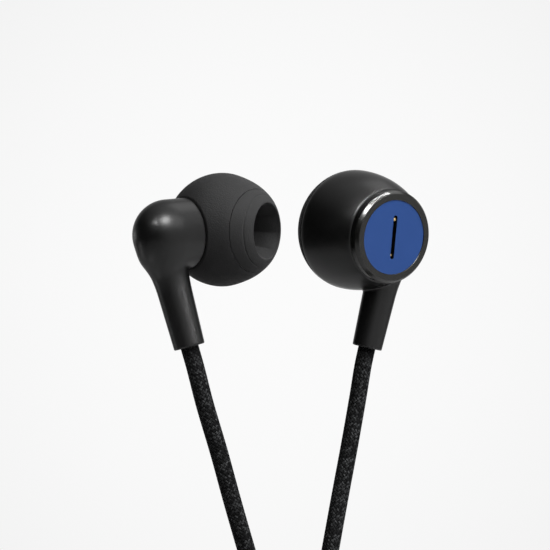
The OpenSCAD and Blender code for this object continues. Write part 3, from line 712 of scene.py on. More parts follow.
def braided_tube(name, stretches, radius, material):
    """A tube along stretches of (points, sides, relief), with UVs that follow the braid."""
    points, faces, rings, rows = [], [], [], []
    travelled = 0.0
    side = None
    previous = None
    whole = np.concatenate([s[0] for s in stretches])
    for line, sides, relief in stretches:
        for spot in line:
            i = len(rows)
            ahead = whole[min(i + 1, len(whole) - 1)] - whole[max(i - 1, 0)]
            along_it = unit(ahead)
            if side is None:
                side = unit(np.cross(along_it, (0.0, 1.0, 0.0)))
            side = unit(side - along_it * (side @ along_it))
            other = np.cross(along_it, side)
            if previous is not None:
                travelled += float(np.linalg.norm(spot - previous))
            previous = spot
            row = travelled / BRAID_ROW
            turn = np.arange(sides) / sides
            lift = relief * (strand_height(turn, row) - 0.6) if relief else 0.0
            out = (radius + lift) * np.ones(sides)
            ring = (spot + np.cos(2 * np.pi * turn)[:, None] * out[:, None] * side
                    + np.sin(2 * np.pi * turn)[:, None] * out[:, None] * other)
            rings.append(range(len(points), len(points) + sides))
            points.extend(ring)
            rows.append(row)
    for i, (low, high) in enumerate(zip(rings, rings[1:])):
        if len(low) == len(high):
            n = len(low)
            faces.extend([low[k], low[(k + 1) % n], high[(k + 1) % n], high[k]] for k in range(n))
        else:
            # This joins two sides to one. From 96 sides to 32 it leaves a third of the wider
            # ring open and sets the row's faces askew: a known fault.
            n = len(high)
            for k in range(n):
                faces.append([low[2 * k], low[2 * k + 1], high[k]])
                faces.append([low[2 * k + 1], low[(2 * k + 2) % len(low)], high[(k + 1) % n], high[k]])
    faces.append(list(rings[0])[::-1])
    faces.append(list(rings[-1]))
    piece = add_mesh(name, points, faces, "earphones", material)
    mesh = piece.data
    owner = np.zeros(len(points), int)
    turn_of = np.zeros(len(points))
    for i, ring in enumerate(rings):
        owner[ring.start:ring.stop] = i
        turn_of[ring.start:ring.stop] = np.arange(len(ring)) / len(ring)
    rows = np.array(rows)
    layer = mesh.uv_layers.new(name="braid")
    loops = np.zeros(len(mesh.loops), int)
    mesh.loops.foreach_get("vertex_index", loops)
    uv = np.stack([turn_of[loops], rows[owner[loops]]], -1)
    for polygon in mesh.polygons:
        span = slice(polygon.loop_start, polygon.loop_start + polygon.loop_total)
        turns = uv[span, 0]
        if turns.max() - turns.min() > 0.5 and polygon.loop_total < 5:
            uv[span, 0] = np.where(turns < 0.5, turns + 1, turns)
    layer.data.foreach_set("uv", uv.astype(np.float32).ravel())
    return piece, whole


def build_cords():
    """The two single cords and the main cord, each one unbroken braided tube."""
    s = sizes()
    braid = material_of("braid")
    for name, foot, lean, route, side in (
            ("left_lead", LEFT_FOOT, LEFT_LEAN, LEFT_ROUTE, -1),
            ("right_lead", RIGHT_FOOT, RIGHT_LEAN, RIGHT_ROUTE, 1)):
        exit_way = -stem_axis(lean)
        inset = foot - exit_way * CORD_INSET
        free = spline([inset, *route], exit_way, DOWN, ROUTE_STEP)
        wound = hank(route[-1], s.cord_diameter, side, **SINGLE_HANK)
        seen_end = max(i for i, p in enumerate(free) if p[2] > SEEN_DOWN_TO)
        seen = evenly(free[:seen_end + 1], SEEN_STEP)
        hidden = evenly([*free[seen_end:], *wound[1:]], HIDDEN_STEP)[1:]
        piece, line = braided_tube(
            name, [(seen, SEEN_SIDES, STRAND_RELIEF), (hidden, HIDDEN_SIDES, 0)], s.cord_diameter / 2, braid)
        prefix = name.split("_")[0]
        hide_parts(prefix + "_cord", prefix + "_hank")
    free = spline(MAIN_ROUTE, DOWN, DOWN, MAIN_ROUTE_STEP)
    wound = hank(MAIN_ROUTE[-1], s.main_diameter, 1, **MAIN_HANK)
    line = evenly([*free, *wound[1:]], HIDDEN_STEP)
    piece, line = braided_tube("main_lead", [(line, HIDDEN_SIDES, 0)], s.main_diameter / 2, braid)
    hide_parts("main_cord", "main_hank")


# ---------- housings ----------

STEM_TAPER = 0.03
FLARE_FROM = 6.2 * MM
FLARE_GAIN = 32
FOOT_BEVEL = 0.12 * MM
STEM_SHOULDER = 1.3 * MM
GROMMET_BORE = 1.35 * MM
GROMMET_DEPTH = 2.4 * MM
CUT_PAST = 2 * MM
VENT_RADIUS = 1.6 * MM
BARREL_EDGE = 0.14 * MM
BARREL_ROOM_DEPTH = 3.0 * MM
BELL_EDGE = 0.12 * MM
BELL_STEM_FILLET = 0.2 * MM
BELL_FRONT_WALL = 1.2 * MM
LEFT_NET = 0.13 * MM
RIGHT_NET = 0.17 * MM


def stem_radius(height):
    """Radius of a stem at a height above its foot."""
    s = sizes()
    flare = np.maximum(height - FLARE_FROM, 0)
    return s.stem_radius + STEM_TAPER * height + FLARE_GAIN * flare ** 2


def stem_field(points, foot, axis):
    """Stem with a fine bevel at its foot and a soft shoulder at its upper end."""
    length = sizes().stem_length
    return np.maximum(rod(points, foot, axis, 0, 2 * length, stem_radius, FOOT_BEVEL),
                      rod(points, foot, axis, -length, length, stem_radius, STEM_SHOULDER))


def grommet_bore(points, foot, axis):
    return rod(points, foot, axis, -CUT_PAST, GROMMET_DEPTH, GROMMET_BORE)


def moulded(name, box, step, finish, field):
    """A shell from the field that describes it, worked out in a box with a margin."""
    low, high = np.array(box[0]), np.array(box[1])
    points, quads = surface_net(field, low - 2 * step, high + 2 * step, step)
    points = settle(field, points, quads)
    return add_mesh(name, points, quads.tolist(), "earphones", material_of(finish))


def seat_distance():
    """From the ball tip's middle to the circle where it meets the barrel."""
    s = sizes()
    return math.sqrt(s.ball_radius ** 2 - s.barrel_radius ** 2)


def build_left_housing():
    """Dome, barrel and stem run into each other in soft fillets."""
    s = sizes()
    elbow = LEFT_MIDDLE - (seat_distance() + s.barrel_length) * BARREL
    axis = stem_axis(LEFT_LEAN)
    edge = BARREL_EDGE
    room_back = s.barrel_length - BARREL_ROOM_DEPTH

    def field(points):
        height, out = along(points, elbow, BARREL)
        wide, tall = out - s.barrel_radius + edge, height - s.barrel_length + edge
        barrel = (np.hypot(np.maximum(wide, 0), np.maximum(tall, 0))
                  + np.minimum(np.maximum(wide, tall), 0) - edge)
        dome = np.hypot(height, out) - s.barrel_radius
        body = np.where(height < 0, dome, barrel)
        # The stem's fillet shrinks from the dome towards the barrel's rim.
        near_rim = np.clip((height + 2 * MM) / (3 * MM), 0, 1)
        body = melt(body, stem_field(points, LEFT_FOOT, axis), (1.5 - 1.1 * near_rim) * MM)
        body = np.maximum(body, height - s.barrel_length)
        room = rod(points, elbow, BARREL, room_back, s.barrel_length + CUT_PAST,
                   s.barrel_radius - s.barrel_wall)
        bore = grommet_bore(points, LEFT_FOOT, axis)
        return np.maximum(body, -np.minimum(room, bore))

    piece = moulded("left_housing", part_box("left_shell"), LEFT_NET, "shell_black", field)
    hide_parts("left_shell")


def bell_profile(height):
    """Radius of the bell at a height from the cap's face."""
    s = sizes()
    back = s.ring_radius + 0.04 * MM
    sweep = (s.bell_depth - s.ring_length) / math.sqrt(1 - (back / s.bell_radius) ** 2)
    front = s.bell_radius * np.sqrt(np.maximum(1 - ((s.bell_depth - height) / sweep) ** 2, 0.01))
    behind = s.bell_radius * np.sqrt(np.maximum(1 - ((height - s.bell_depth) / s.dome_depth) ** 2, 0.01))
    return np.where(height < s.bell_depth, front, behind)


def build_right_housing():
    """Bell and stem, with the stem leaving the bell's underside in a tight fillet."""
    s = sizes()
    face = cap_face()
    axis = stem_axis(RIGHT_LEAN)
    bell_end = s.bell_depth + s.bell_lip

    def field(points):
        bell = rod(points, face, RIGHT, s.ring_length, bell_end, bell_profile, BELL_EDGE)
        body = melt(bell, stem_field(points, RIGHT_FOOT, axis), BELL_STEM_FILLET)
        height, _ = along(points, face, RIGHT)
        body = np.maximum(body, s.ring_length - height)
        room = rod(points, face, RIGHT, s.ring_length + BELL_FRONT_WALL, bell_end + CUT_PAST,
                   lambda h: bell_profile(h) - s.bell_wall)
        vent = rod(points, face, RIGHT, -1 * MM, s.bell_depth, VENT_RADIUS)
        bore = grommet_bore(points, RIGHT_FOOT, axis)
        return np.maximum(body, -np.minimum(np.minimum(room, vent), bore))

    piece = moulded("right_housing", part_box("right_shell"), RIGHT_NET, "bell_satin", field)
    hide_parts("right_shell")


# ---------- ear tips ----------

TIP_POINTS = 192
FLUTES = 9
FLUTE_TURN = math.radians(31)
TIP_TURNS = 2 * np.pi * np.arange(TIP_POINTS) / TIP_POINTS
MOUTH_FULLNESS = 0.021
MOUTH_FULL_AT = 36
MOUTH_FULL_REACH = 12
WAIST_DEPTH = 0.016
WAIST_AT = 70
WAIST_REACH = 13
TIP_GAP = 0.12 * MM
TIP_FIT = 0.05 * MM
SKIN = 1.3 * MM
CORE_WALL = 0.9 * MM
SLEEVE_WALL = 0.6 * MM
SLEEVE_ROOM = 0.65 * MM
SLEEVE_LENGTH = 2.4 * MM
SLEEVE_ROUND = 0.12 * MM
GROOVE = 0.02 * MM
EDGE_ROLL = 0.06 * MM
STEP_ANGLE = math.radians(38.6)
STEP_WIDTH = 0.06 * MM
LIP_REACH = 3.3 * MM
LIP_ROUND = 0.12 * MM
FLUTES_FROM = 1.7 * MM
FLUTES_DRAW_IN = 0.9 * MM


def tip_radius(ways):
    """Radius of the ball tip along unit ways: full round the mouth, slim behind the flange."""
    angle = np.degrees(np.arccos(np.clip(ways @ OUTLET, -1, 1)))
    full = MOUTH_FULLNESS * np.exp(-((angle - MOUTH_FULL_AT) / MOUTH_FULL_REACH) ** 2)
    slim = WAIST_DEPTH * np.exp(-((angle - WAIST_AT) / WAIST_REACH) ** 2)
    return sizes().ball_radius * (1 + full - slim)


def unit_rows(vectors):
    return vectors / np.linalg.norm(vectors, axis=1)[:, None]


def circle_round(axis, toward):
    """Unit directions square to an axis, the first one towards a direction."""
    first = unit(toward - axis * (toward @ axis))
    return np.cos(TIP_TURNS)[:, None] * first + np.sin(TIP_TURNS)[:, None] * np.cross(axis, first)


def circle_of_ways(axis, toward, half_angle):
    """Unit ways at an angle to an axis, the first one towards a direction."""
    return math.cos(half_angle) * axis + math.sin(half_angle) * circle_round(axis, toward)


def between(first, last, steps):
    """Circles of ways spread evenly from the first to the last."""
    angle = np.arccos(np.clip((first * last).sum(1), -1, 1))[:, None]
    return [(np.sin((1 - t) * angle) * first + np.sin(t * angle) * last) / np.sin(angle)
            for t in np.linspace(0, 1, steps)]


def on_tip(ways, depth=0.0):
    """Points of the tip's surface along ways, or below it."""
    return ways * (tip_radius(ways) - depth)[:, None]


def band(loops, closed):
    """Points and faces of a band through loops of points."""
    faces = []
    last = len(loops) if closed else len(loops) - 1
    for i in range(last):
        n = (i + 1) % len(loops)
        for k in range(TIP_POINTS):
            m = (k + 1) % TIP_POINTS
            faces.append([i * TIP_POINTS + k, i * TIP_POINTS + m, n * TIP_POINTS + m, n * TIP_POINTS + k])
    return np.concatenate(loops), faces


def ring_round(axis, toward, radius, height):
    """A ring of points about an axis through the ball's middle; the radius may vary."""
    return height * axis + circle_round(axis, toward) * (radius * np.ones(TIP_POINTS))[:, None]


def rolled(axis, half_angle, roll, outward):
    """Loops that roll an edge of the tip's skin inwards beside a circle."""
    loops = []
    for k in range(6):
        a = math.pi / 2 * k / 5
        angle = half_angle + outward * roll * (1 - math.sin(a)) / sizes().ball_radius
        loops.append(on_tip(circle_of_ways(axis, -BARREL, angle), roll * (1 - math.cos(a))))
    return loops[::-1]


def build_left_tip():
    """Soft ball: a thick skin between its seat on the barrel and the firm front flange."""
    s = sizes()
    cup = s.mouth_radius + CORE_WALL
    sleeve = s.nozzle_radius + SLEEVE_ROOM
    back = seat_distance() - TIP_GAP
    flange_angle = math.acos(s.flange_at / s.ball_radius) + GROOVE / s.ball_radius
    seat = circle_of_ways(-BARREL, OUTLET, math.acos(back / s.ball_radius))
    seat = np.concatenate([seat[:1], seat[:0:-1]])
    edge = rolled(FLANGE, flange_angle, EDGE_ROLL, 1)
    start = circle_of_ways(FLANGE, -BARREL, flange_angle + EDGE_ROLL / s.ball_radius)
    outside = [on_tip(ways) for ways in between(start, seat, 70)]
    middle = -BARREL * back
    toward = unit_rows(outside[-1] - middle)
    hollow = s.ball_radius - SKIN
    inside = [ways * hollow for ways in between(
        unit_rows(toward * sleeve + middle),
        circle_of_ways(FLANGE, -BARREL, math.asin(cup / hollow)), 20)]
    loops = [*edge, *outside[1:], middle + toward * sleeve, *inside,
             ring_round(FLANGE, -BARREL, cup, s.flange_at - 0.2 * MM)]
    points, faces = band(loops, closed=True)
    piece = add_mesh("left_tip_ball", points + LEFT_MIDDLE, faces, "left_tip",
                     material_of("tip_silicone"))
    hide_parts("left_ear_tip")


def build_left_core():
    """Firm cup with its flange, the rolled mouth, a fluted outlet and the nozzle's sleeve."""
    s = sizes()
    cup = s.mouth_radius + CORE_WALL
    flange_angle = math.acos(s.flange_at / s.ball_radius) - GROOVE / s.ball_radius
    step_axis = unit(OUTLET * 0.75 + FLANGE * 0.25)
    step_width = STEP_WIDTH / s.ball_radius

    loops = [ring_round(FLANGE, -BARREL, cup, -3 * MM),
             ring_round(FLANGE, -BARREL, cup, s.flange_at - 0.3 * MM)]
    loops += rolled(FLANGE, flange_angle, EDGE_ROLL, -1)
    flange = circle_of_ways(FLANGE, -BARREL, flange_angle - EDGE_ROLL / s.ball_radius)
    step_outer = circle_of_ways(step_axis, -BARREL, STEP_ANGLE + 2 * step_width)
    loops += [on_tip(ways) for ways in between(flange, step_outer, 14)[1:]]
    for offset, depth in ((1, 0.02), (0, 0.06), (-1, 0.015), (-2, 0)):
        loops.append(on_tip(circle_of_ways(step_axis, -BARREL, STEP_ANGLE + offset * step_width),
                            depth * MM))
    lip_angle = math.asin(LIP_REACH / (s.ball_radius * 1.02))
    step_inner = circle_of_ways(step_axis, -BARREL, STEP_ANGLE - 3 * step_width)
    lip_ways = circle_of_ways(OUTLET, -BARREL, lip_angle)
    loops += [on_tip(ways) for ways in between(step_inner, lip_ways, 10)]
    crest = tip_radius(lip_ways[:1])[0]
    inner = (crest - LIP_ROUND) * math.sin(lip_angle)
    rim = (crest - LIP_ROUND) * math.cos(lip_angle)
    for i in range(1, 9):
        a = lip_angle - (math.pi / 2 + lip_angle) * i / 8
        loops.append(ring_round(
            OUTLET, -BARREL, inner + LIP_ROUND * math.sin(a), rim + LIP_ROUND * math.cos(a)))
    bore = inner - LIP_ROUND
    half = np.pi / FLUTES
    facet = 1 - math.cos(half) / np.cos((TIP_TURNS - np.pi - FLUTE_TURN) % (2 * half) - half)
    for share in np.linspace(0, 1, 15)[1:]:
        height = rim + (FLUTES_FROM - rim) * share
        narrow = (bore - FLUTES_DRAW_IN * share) * (1 - min(1, share * 3) * facet)
        loops.append(ring_round(OUTLET, -BARREL, narrow, height))
    loops += [ring_round(OUTLET, -BARREL, s.throat_radius, 1.2 * MM),
              ring_round(OUTLET, -BARREL, s.throat_radius, -2 * MM)]
    points, faces = band(loops, closed=False)
    count = len(points)
    faces.append(list(range(TIP_POINTS))[::-1])
    faces.append(list(range(count - TIP_POINTS, count)))

    back = seat_distance() - TIP_GAP
    grip = s.nozzle_radius + TIP_FIT
    sleeve = rounded([
        (grip, -back + SLEEVE_LENGTH), (grip, -back, SLEEVE_ROUND), (grip + SLEEVE_WALL, -back, SLEEVE_ROUND),
        (grip + SLEEVE_WALL, -back + SLEEVE_LENGTH)])
    more, more_faces = turned(sleeve, np.zeros(3), BARREL, 96, closed=True)
    faces += [[c + count for c in face] for face in more_faces]
    piece = add_mesh("left_tip_cup", np.concatenate([points, more]) + LEFT_MIDDLE, faces,
                     "left_tip", material_of("core_silicone"))
    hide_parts("left_tip_core")


def build_right_tip():
    """Soft dome with a rolled mouth, and the sleeve that grips the nozzle."""
    s = sizes()
    face = cap_face()
    back = s.bell_depth + s.bell_lip + TIP_GAP
    rim = s.mouth_radius + 0.35 * MM
    mouth = s.bell_depth + s.dome_depth * math.sqrt(1 - (rim / s.bell_radius) ** 2)
    lip = 0.3 * MM
    top_angle = math.acos((rim + 0.12 * MM) / s.bell_radius)
    low_angle = math.asin((back - s.bell_depth) / s.dome_depth)
    arc = [(s.bell_radius * math.cos(low_angle) - 0.25 * MM, back)]
    for i in range(33):
        a = low_angle + 0.012 + (top_angle - low_angle - 0.012) * i / 32
        arc.append((s.bell_radius * math.cos(a), s.bell_depth + s.dome_depth * math.sin(a)))
    top = arc[-1]
    for i in range(1, 7):
        a = math.pi / 2 * i / 6
        arc.append((top[0] - lip * math.sin(a), top[1] - lip * (1 - math.cos(a)) + 0.03 * MM * math.sin(a)))
    wall = 0.9 * MM
    arc += [(rim - 0.15 * MM, mouth - 0.6 * MM), (rim + 0.1 * MM, mouth - 1.0 * MM)]
    for i in range(12):
        a = math.acos(min(1, (rim + 0.4 * MM) / (s.bell_radius - wall)))
        a = a + (low_angle - a) * (i + 1) / 12
        arc.append(((s.bell_radius - wall) * math.cos(a), s.bell_depth + (s.dome_depth - wall) * math.sin(a)
                    + 0.1 * MM))
    arc.append(((s.bell_radius - wall) * math.cos(low_angle), back))
    points, faces = turned(arc, face, RIGHT, 160, closed=True)
    dome = add_mesh("right_tip_dome", points, faces, "right_tip",
                    material_of("tip_silicone"))
    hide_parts("right_ear_tip")

    bore = s.nozzle_radius + TIP_FIT
    sleeve = rounded([
        (bore, back), (bore + 0.65 * MM, back, 0.1 * MM), (bore + 0.7 * MM, mouth - 1.0 * MM, 0.1 * MM),
        (rim - 0.08 * MM, mouth - 0.75 * MM, 0.1 * MM), (rim - 0.25 * MM, mouth - 0.35 * MM, 0.1 * MM),
        (bore + 0.1 * MM, mouth - 1.2 * MM, 0.1 * MM), (bore, mouth - 1.5 * MM)])
    points, faces = turned(sleeve, face, RIGHT, 96, closed=True)
    core = add_mesh("right_tip_sleeve", points, faces, "right_tip",
                    material_of("core_silicone"))
    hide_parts("right_tip_core")


# ---------- trim ----------

CAP_UP = unit(-DOWN + RIGHT * (DOWN @ RIGHT))
LEDGE = 0.5 * MM
LEDGE_DEPTH = 0.6 * MM
EDGE_FILLET = 0.02 * MM


def build_trim():
    """Polished ring with softened bevels, and the plated studs in the slot's ends."""
    s = sizes()
    face = cap_face()
    inside = s.cap_radius - LEDGE
    profile = rounded([
        (inside, s.ring_length), (inside, LEDGE_DEPTH, EDGE_FILLET), (s.cap_radius, LEDGE_DEPTH, EDGE_FILLET),
        (s.cap_radius, 0.06 * MM, EDGE_FILLET), (s.cap_radius + 0.06 * MM, 0, EDGE_FILLET),
        (s.ring_radius - s.bevel, 0, 0.12 * MM), (s.ring_radius, s.shoulder, 0.16 * MM),
        (s.ring_radius, s.ring_length, 0.04 * MM), (inside, s.ring_length)])
    points, faces = turned(profile, face, RIGHT, 192)
    ring = weighted_normals(add_mesh("polished_ring", points, faces, "earphones",
                                     material_of("ring_black")))
    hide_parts("right_trim_ring")

    plate = 0.15 * MM
    points, faces = turned([(0, s.cap_back), (inside, s.cap_back), (inside, s.cap_back + plate),
                            (0, s.cap_back + plate)], face, RIGHT, 96)
    for reach, radius, depth in ((0.5 * s.slot_length - 0.5 * MM, 0.21 * MM, 0.1 * MM),
                                 (0.42 * MM - 0.5 * s.slot_length, 0.16 * MM, 0.32 * MM)):
        stud = [(radius * math.sin(a), depth + radius * (1 - math.cos(a)))
                for a in np.linspace(0, math.pi / 2, 9)]
        stud += [(radius, s.cap_back), (0, s.cap_back)]
        more, more_faces = turned(stud, face + CAP_UP * reach, RIGHT, 32)
        faces += [[c + len(points) for c in loop] for loop in more_faces]
        points = points + more
    plate_piece = weighted_normals(add_mesh("slot_studs", points, faces, "earphones",
                                            material_of("gold_mesh")))
    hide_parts("right_vent_mesh")


# ---------- the frame's own pieces ----------

def dress_nodes():
    """Gives each piece of the frame that stays in sight the finish of its slot."""
    for part in frame["record"]["subparts"]:
        node = frame["nodes"][part["node"]]
        node.data.materials.clear()
        node.data.materials.append(material_of(part["material_slot"]))


# ---------- stage ----------

STRIP_AIM = np.array((-1.5, -5, -24)) * MM
CARD_AIM = np.array((-7, -4, -6)) * MM
DOME_AIM = np.array((-8, -7, 0)) * MM
STUDIO_AIM = np.array((7, 4, 0)) * MM
SENSOR = 36
RING_TURNS = np.radians(np.arange(-58, -12, 2.5))
RING_SPOT_AWAY = 0.12
RING_SPOT_SIZE = 0.003
RING_SPOT_SPREAD = math.radians(1.5)
FLOOR_REACH = 0.5
FLOOR_BELOW = 0.5 * MM
FADE_FROM = 0.06
FADE_TO = 0.32


def add_softbox(name, turn, rise, distance, wide, tall, glow, aim=STUDIO_AIM, spread=math.pi,
                mirrored=True):
    """A softbox seen from its aim at a turn to the right of the front and a rise, in degrees.
    A mirrored one makes highlights only, and the others light the colours only."""
    light = bpy.data.lights.new(name, "AREA")
    light.shape = "RECTANGLE"
    light.size, light.size_y = wide, tall
    light.spread = spread
    light.energy = glow * math.pi * wide * tall
    lamp = bpy.data.objects.new(name, light)
    turn, rise = math.radians(turn), math.radians(rise)
    way = Vector((math.sin(turn) * math.cos(rise), -math.cos(turn) * math.cos(rise), math.sin(rise)))
    lamp.location = Vector(aim) + way * distance
    lamp.rotation_mode = "QUATERNION"
    lamp.rotation_quaternion = (-way).to_track_quat("-Z", "Y")
    lamp.visible_glossy = mirrored
    lamp.visible_diffuse = not mirrored
    lamp.visible_camera = False
    bpy.context.scene.collection.objects.link(lamp)


def add_ring_spots(eye):
    """Small gridded spots that the bevel's upper left mirrors towards the eye."""
    s = sizes()
    side = np.cross(RIGHT, CAP_UP)
    slant = math.atan2(s.shoulder, s.bevel)
    middle = RIGHT_MIDDLE - (s.bell_depth - s.shoulder / 2) * RIGHT
    for index, turn in enumerate(RING_TURNS):
        out = math.cos(turn) * CAP_UP + math.sin(turn) * side
        spot = middle + out * (s.ring_radius - s.bevel / 2)
        normal = math.sin(slant) * out - math.cos(slant) * RIGHT
        view = unit(np.array(eye) - spot)
        way = 2 * (normal @ view) * normal - view
        add_softbox(f"ring_spot_{index}", math.degrees(math.atan2(way[0], -way[1])),
                    math.degrees(math.asin(way[2])), RING_SPOT_AWAY, RING_SPOT_SIZE, RING_SPOT_SIZE,
                    bpy.context.scene.studio.ring_glow, aim=spot, spread=RING_SPOT_SPREAD)


def grey(nodes, links, value):
    """A grey colour from a value."""
    node = nodes.new("ShaderNodeCombineColor")
    for name in ("Red", "Green", "Blue"):
        links.new(value, node.inputs[name])
    return node.outputs["Color"]


def build_world():
    """Even light all round. The camera sees a pale backdrop that falls off from its
    middle, and reflections see that backdrop behind, a soft ceiling and a dark room."""
    studio = bpy.context.scene.studio
    world = bpy.data.worlds.new("studio")
    bpy.context.scene.world = world
    world.use_nodes = True
    nodes, links = world.node_tree.nodes, world.node_tree.links
    nodes.clear()
    out = nodes.new("ShaderNodeOutputWorld")
    way = nodes.new("ShaderNodeSeparateXYZ")
    links.new(nodes.new("ShaderNodeTexCoord").outputs["Generated"], way.inputs["Vector"])
    side, deep, tall = way.outputs["X"], way.outputs["Y"], way.outputs["Z"]

    even, seen, room = [nodes.new("ShaderNodeBackground") for _ in range(3)]
    links.new(grey(nodes, links, ranged(nodes, links, tall, -0.2, 1, 0, studio.ambient)),
              even.inputs["Color"])
    links.new(grey(nodes, links, ranged(nodes, links, deep, 0.99, 1.0, studio.backdrop_edge,
                                        studio.backdrop)), seen.inputs["Color"])
    ceiling = ranged(nodes, links, tall, 0.5, 1, 0, 0.8 * studio.room)
    behind = ranged(nodes, links, deep, 0.6, 0.93, 0, 0.9 * studio.room)
    paper = ranged(nodes, links, deep, 0.93, 0.98, 0, studio.backdrop - 0.9 * studio.room)
    right = maths(nodes, links, "MULTIPLY", ranged(nodes, links, side, -0.5, 0.25, 0.02, studio.room),
                  ranged(nodes, links, deep, 0.2, 0.6, 1.1, 0))
    parts = maths(nodes, links, "ADD", maths(nodes, links, "ADD", ceiling, behind),
                  maths(nodes, links, "ADD", paper, right))
    links.new(grey(nodes, links, parts), room.inputs["Color"])

    path = nodes.new("ShaderNodeLightPath")
    mirrored = maths(nodes, links, "MAXIMUM", path.outputs["Is Glossy Ray"],
                     path.outputs["Is Transmission Ray"])
    lit, shown = nodes.new("ShaderNodeMixShader"), nodes.new("ShaderNodeMixShader")
    for mix, share, a, b in ((lit, mirrored, even, room), (shown, path.outputs["Is Camera Ray"], lit, seen)):
        links.new(share, mix.inputs[0])
        links.new(a.outputs[0], mix.inputs[1])
        links.new(b.outputs[0], mix.inputs[2])
    links.new(shown.outputs[0], out.inputs["Surface"])


def build_stage():
    """Camera, backdrop, lamps and a pale floor that fades out with distance."""
    studio = bpy.context.scene.studio
    scene = bpy.context.scene
    camera_data = bpy.data.cameras.new("camera")
    camera_data.sensor_width = SENSOR
    camera_data.lens = SENSOR * studio.distance / studio.view_width
    camera_data.clip_start, camera_data.clip_end = 0.01, 20
    camera = bpy.data.objects.new("camera", camera_data)
    camera.location = (studio.aim_x, -studio.distance, studio.aim_z)
    camera.rotation_euler = (math.radians(90), 0, 0)
    scene.collection.objects.link(camera)
    scene.camera = camera

    build_world()
    add_softbox("key_softbox", -10, 47, 0.45, 0.15, 0.14, studio.key_glow)
    add_softbox("wide_softbox", 20, 43, 0.6, 0.75, 0.4, studio.wide_glow)
    add_softbox("fill_softbox", 68, 40, 0.6, 0.5, 0.5, studio.fill_glow, mirrored=False)
    add_softbox("back_softbox", 140, 60, 0.6, 0.35, 0.35, studio.back_glow)
    add_softbox("left_spot", -45, 38, 0.2, 0.02, 0.02, studio.spot_glow, aim=DOME_AIM,
                spread=math.radians(8))
    for index, turn in enumerate(range(26, 80, 7)):
        add_softbox(f"stem_strip_{index}", turn, 12, 0.12, 0.03, 0.04, studio.strip_glow,
                    aim=STRIP_AIM, spread=math.radians(2))
    for index, (turn, rise, wide, tall) in enumerate((
            (-132, 0, 0.02, 0.04), (-110, -20, 0.012, 0.03), (-75, -42, 0.014, 0.014))):
        add_softbox(f"left_card_{index}", turn, rise, 0.06, wide, tall, studio.card_glow,
                    aim=CARD_AIM, spread=math.radians(16))
    add_ring_spots(camera.location)

    reach = FLOOR_REACH
    mesh = bpy.data.meshes.new("floor")
    mesh.from_pydata([(-reach, -reach, 0), (reach, -reach, 0), (reach, reach, 0), (-reach, reach, 0)],
                     [], [[0, 1, 2, 3]])
    material, nodes, links, shader = new_material("floor")
    place = nodes.new("ShaderNodeTexCoord").outputs["Object"]
    tone = noise(nodes, links, place, 6.0, 2.0)
    base = tuple(finish_of().floor)
    pale = mixed(nodes, links, tone, shaded(base, 0.99), shaded(base, 1.01))
    path = nodes.new("ShaderNodeLightPath")
    looked_at = maths(nodes, links, "MAXIMUM", path.outputs["Is Camera Ray"], maths(
        nodes, links, "MAXIMUM", path.outputs["Is Glossy Ray"], path.outputs["Is Transmission Ray"]))
    links.new(mixed(nodes, links, looked_at, shaded(base, studio.floor_bounce), pale),
              shader.inputs["Base Color"])
    shader.inputs["Roughness"].default_value = 0.9
    shader.inputs["Specular IOR Level"].default_value = 0.1
    away = nodes.new("ShaderNodeVectorMath")
    away.operation = "LENGTH"
    links.new(place, away.inputs[0])
    fade = maths(nodes, links, "MULTIPLY", path.outputs["Is Camera Ray"],
                 ranged(nodes, links, away.outputs["Value"], FADE_FROM, FADE_TO, 0.35, 1))
    backdrop, run_out = nodes.new("ShaderNodeEmission"), nodes.new("ShaderNodeMixShader")
    edge = studio.backdrop_edge
    backdrop.inputs["Color"].default_value = (edge, edge, edge, 1)
    for socket, source in zip(run_out.inputs, (fade, shader.outputs["BSDF"], backdrop.outputs["Emission"])):
        links.new(source, socket)
    links.new(run_out.outputs["Shader"], nodes["Material Output"].inputs["Surface"])
    mesh.materials.append(material)
    floor = bpy.data.objects.new("floor", mesh)
    floor.location.z = CAD_BOX[0].z - FLOOR_BELOW
    scene.collection.objects.link(floor)
    scene.view_settings.view_transform = "Standard"


# ---------- operators ----------

class BuildOperator:
    """Runs one build step and raises if it fails."""

    bl_options = {"REGISTER", "UNDO"}

    def execute(self, context):
        self.build()
        return {"FINISHED"}


class EARPHONES_OT_stage(BuildOperator, bpy.types.Operator):
    """Adds the camera, softboxes, backdrop and floor"""

    bl_idname = "earphones.stage"
    bl_label = "Stage"
    build = staticmethod(build_stage)


class EARPHONES_OT_cords(BuildOperator, bpy.types.Operator):
    """Adds the braided cords with their hanks"""

    bl_idname = "earphones.cords"
    bl_label = "Braided cords"
    build = staticmethod(build_cords)


class EARPHONES_OT_left_housing(BuildOperator, bpy.types.Operator):
    """Adds the left dome, barrel and stem"""

    bl_idname = "earphones.left_housing"
    bl_label = "Left housing"
    build = staticmethod(build_left_housing)


class EARPHONES_OT_right_housing(BuildOperator, bpy.types.Operator):
    """Adds the right bell and stem"""

    bl_idname = "earphones.right_housing"
    bl_label = "Right housing"
    build = staticmethod(build_right_housing)


class EARPHONES_OT_left_tip(BuildOperator, bpy.types.Operator):
    """Adds the left ball tip"""

    bl_idname = "earphones.left_tip"
    bl_label = "Left ear tip"
    build = staticmethod(build_left_tip)


class EARPHONES_OT_left_core(BuildOperator, bpy.types.Operator):
    """Adds the firm cup of the left tip"""

    bl_idname = "earphones.left_core"
    bl_label = "Left tip core"
    build = staticmethod(build_left_core)


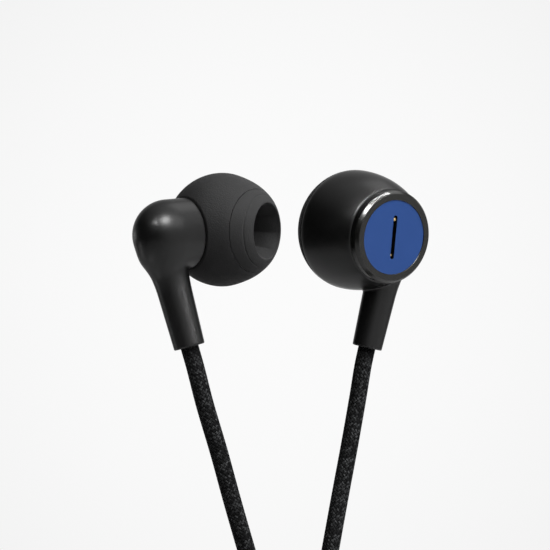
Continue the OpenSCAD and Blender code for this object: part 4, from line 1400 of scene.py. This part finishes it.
class EARPHONES_OT_right_tip(BuildOperator, bpy.types.Operator):
    """Adds the right dome tip and its sleeve"""

    bl_idname = "earphones.right_tip"
    bl_label = "Right ear tip"
    build = staticmethod(build_right_tip)


class EARPHONES_OT_trim(BuildOperator, bpy.types.Operator):
    """Adds the polished ring round the cap and the plated studs in its slot"""

    bl_idname = "earphones.trim"
    bl_label = "Trim ring"
    build = staticmethod(build_trim)


class EARPHONES_OT_finishes(BuildOperator, bpy.types.Operator):
    """Gives the frame's own pieces their finishes"""

    bl_idname = "earphones.finishes"
    bl_label = "Finishes"
    build = staticmethod(dress_nodes)


STEPS = (
    EARPHONES_OT_stage, EARPHONES_OT_cords, EARPHONES_OT_left_housing, EARPHONES_OT_right_housing,
    EARPHONES_OT_left_tip, EARPHONES_OT_left_core, EARPHONES_OT_right_tip, EARPHONES_OT_trim,
    EARPHONES_OT_finishes,
)


class EARPHONES_PT_sidebar(bpy.types.Panel):
    """Lists the build steps"""

    bl_idname = "EARPHONES_PT_sidebar"
    bl_label = "Wired Earphones"
    bl_space_type = "VIEW_3D"
    bl_region_type = "UI"
    bl_category = "Earphones"

    def draw(self, context):
        for step in STEPS:
            self.layout.operator(step.bl_idname)


GROUPS = (EarphoneSizes, EarphoneFinish, StudioSettings)


def register():
    for item in (*GROUPS, *STEPS, EARPHONES_PT_sidebar):
        bpy.utils.register_class(item)
    bpy.types.Scene.earphone_sizes = bpy.props.PointerProperty(type=EarphoneSizes)
    bpy.types.Scene.earphone_finish = bpy.props.PointerProperty(type=EarphoneFinish)
    bpy.types.Scene.studio = bpy.props.PointerProperty(type=StudioSettings)


def unregister():
    del bpy.types.Scene.studio, bpy.types.Scene.earphone_finish, bpy.types.Scene.earphone_sizes
    for item in reversed((*GROUPS, *STEPS, EARPHONES_PT_sidebar)):
        bpy.utils.unregister_class(item)


def main():
    register()
    for step in STEPS:
        group, name = step.bl_idname.split(".")
        getattr(getattr(bpy.ops, group), name)()


if __name__ == "__main__":
    main()
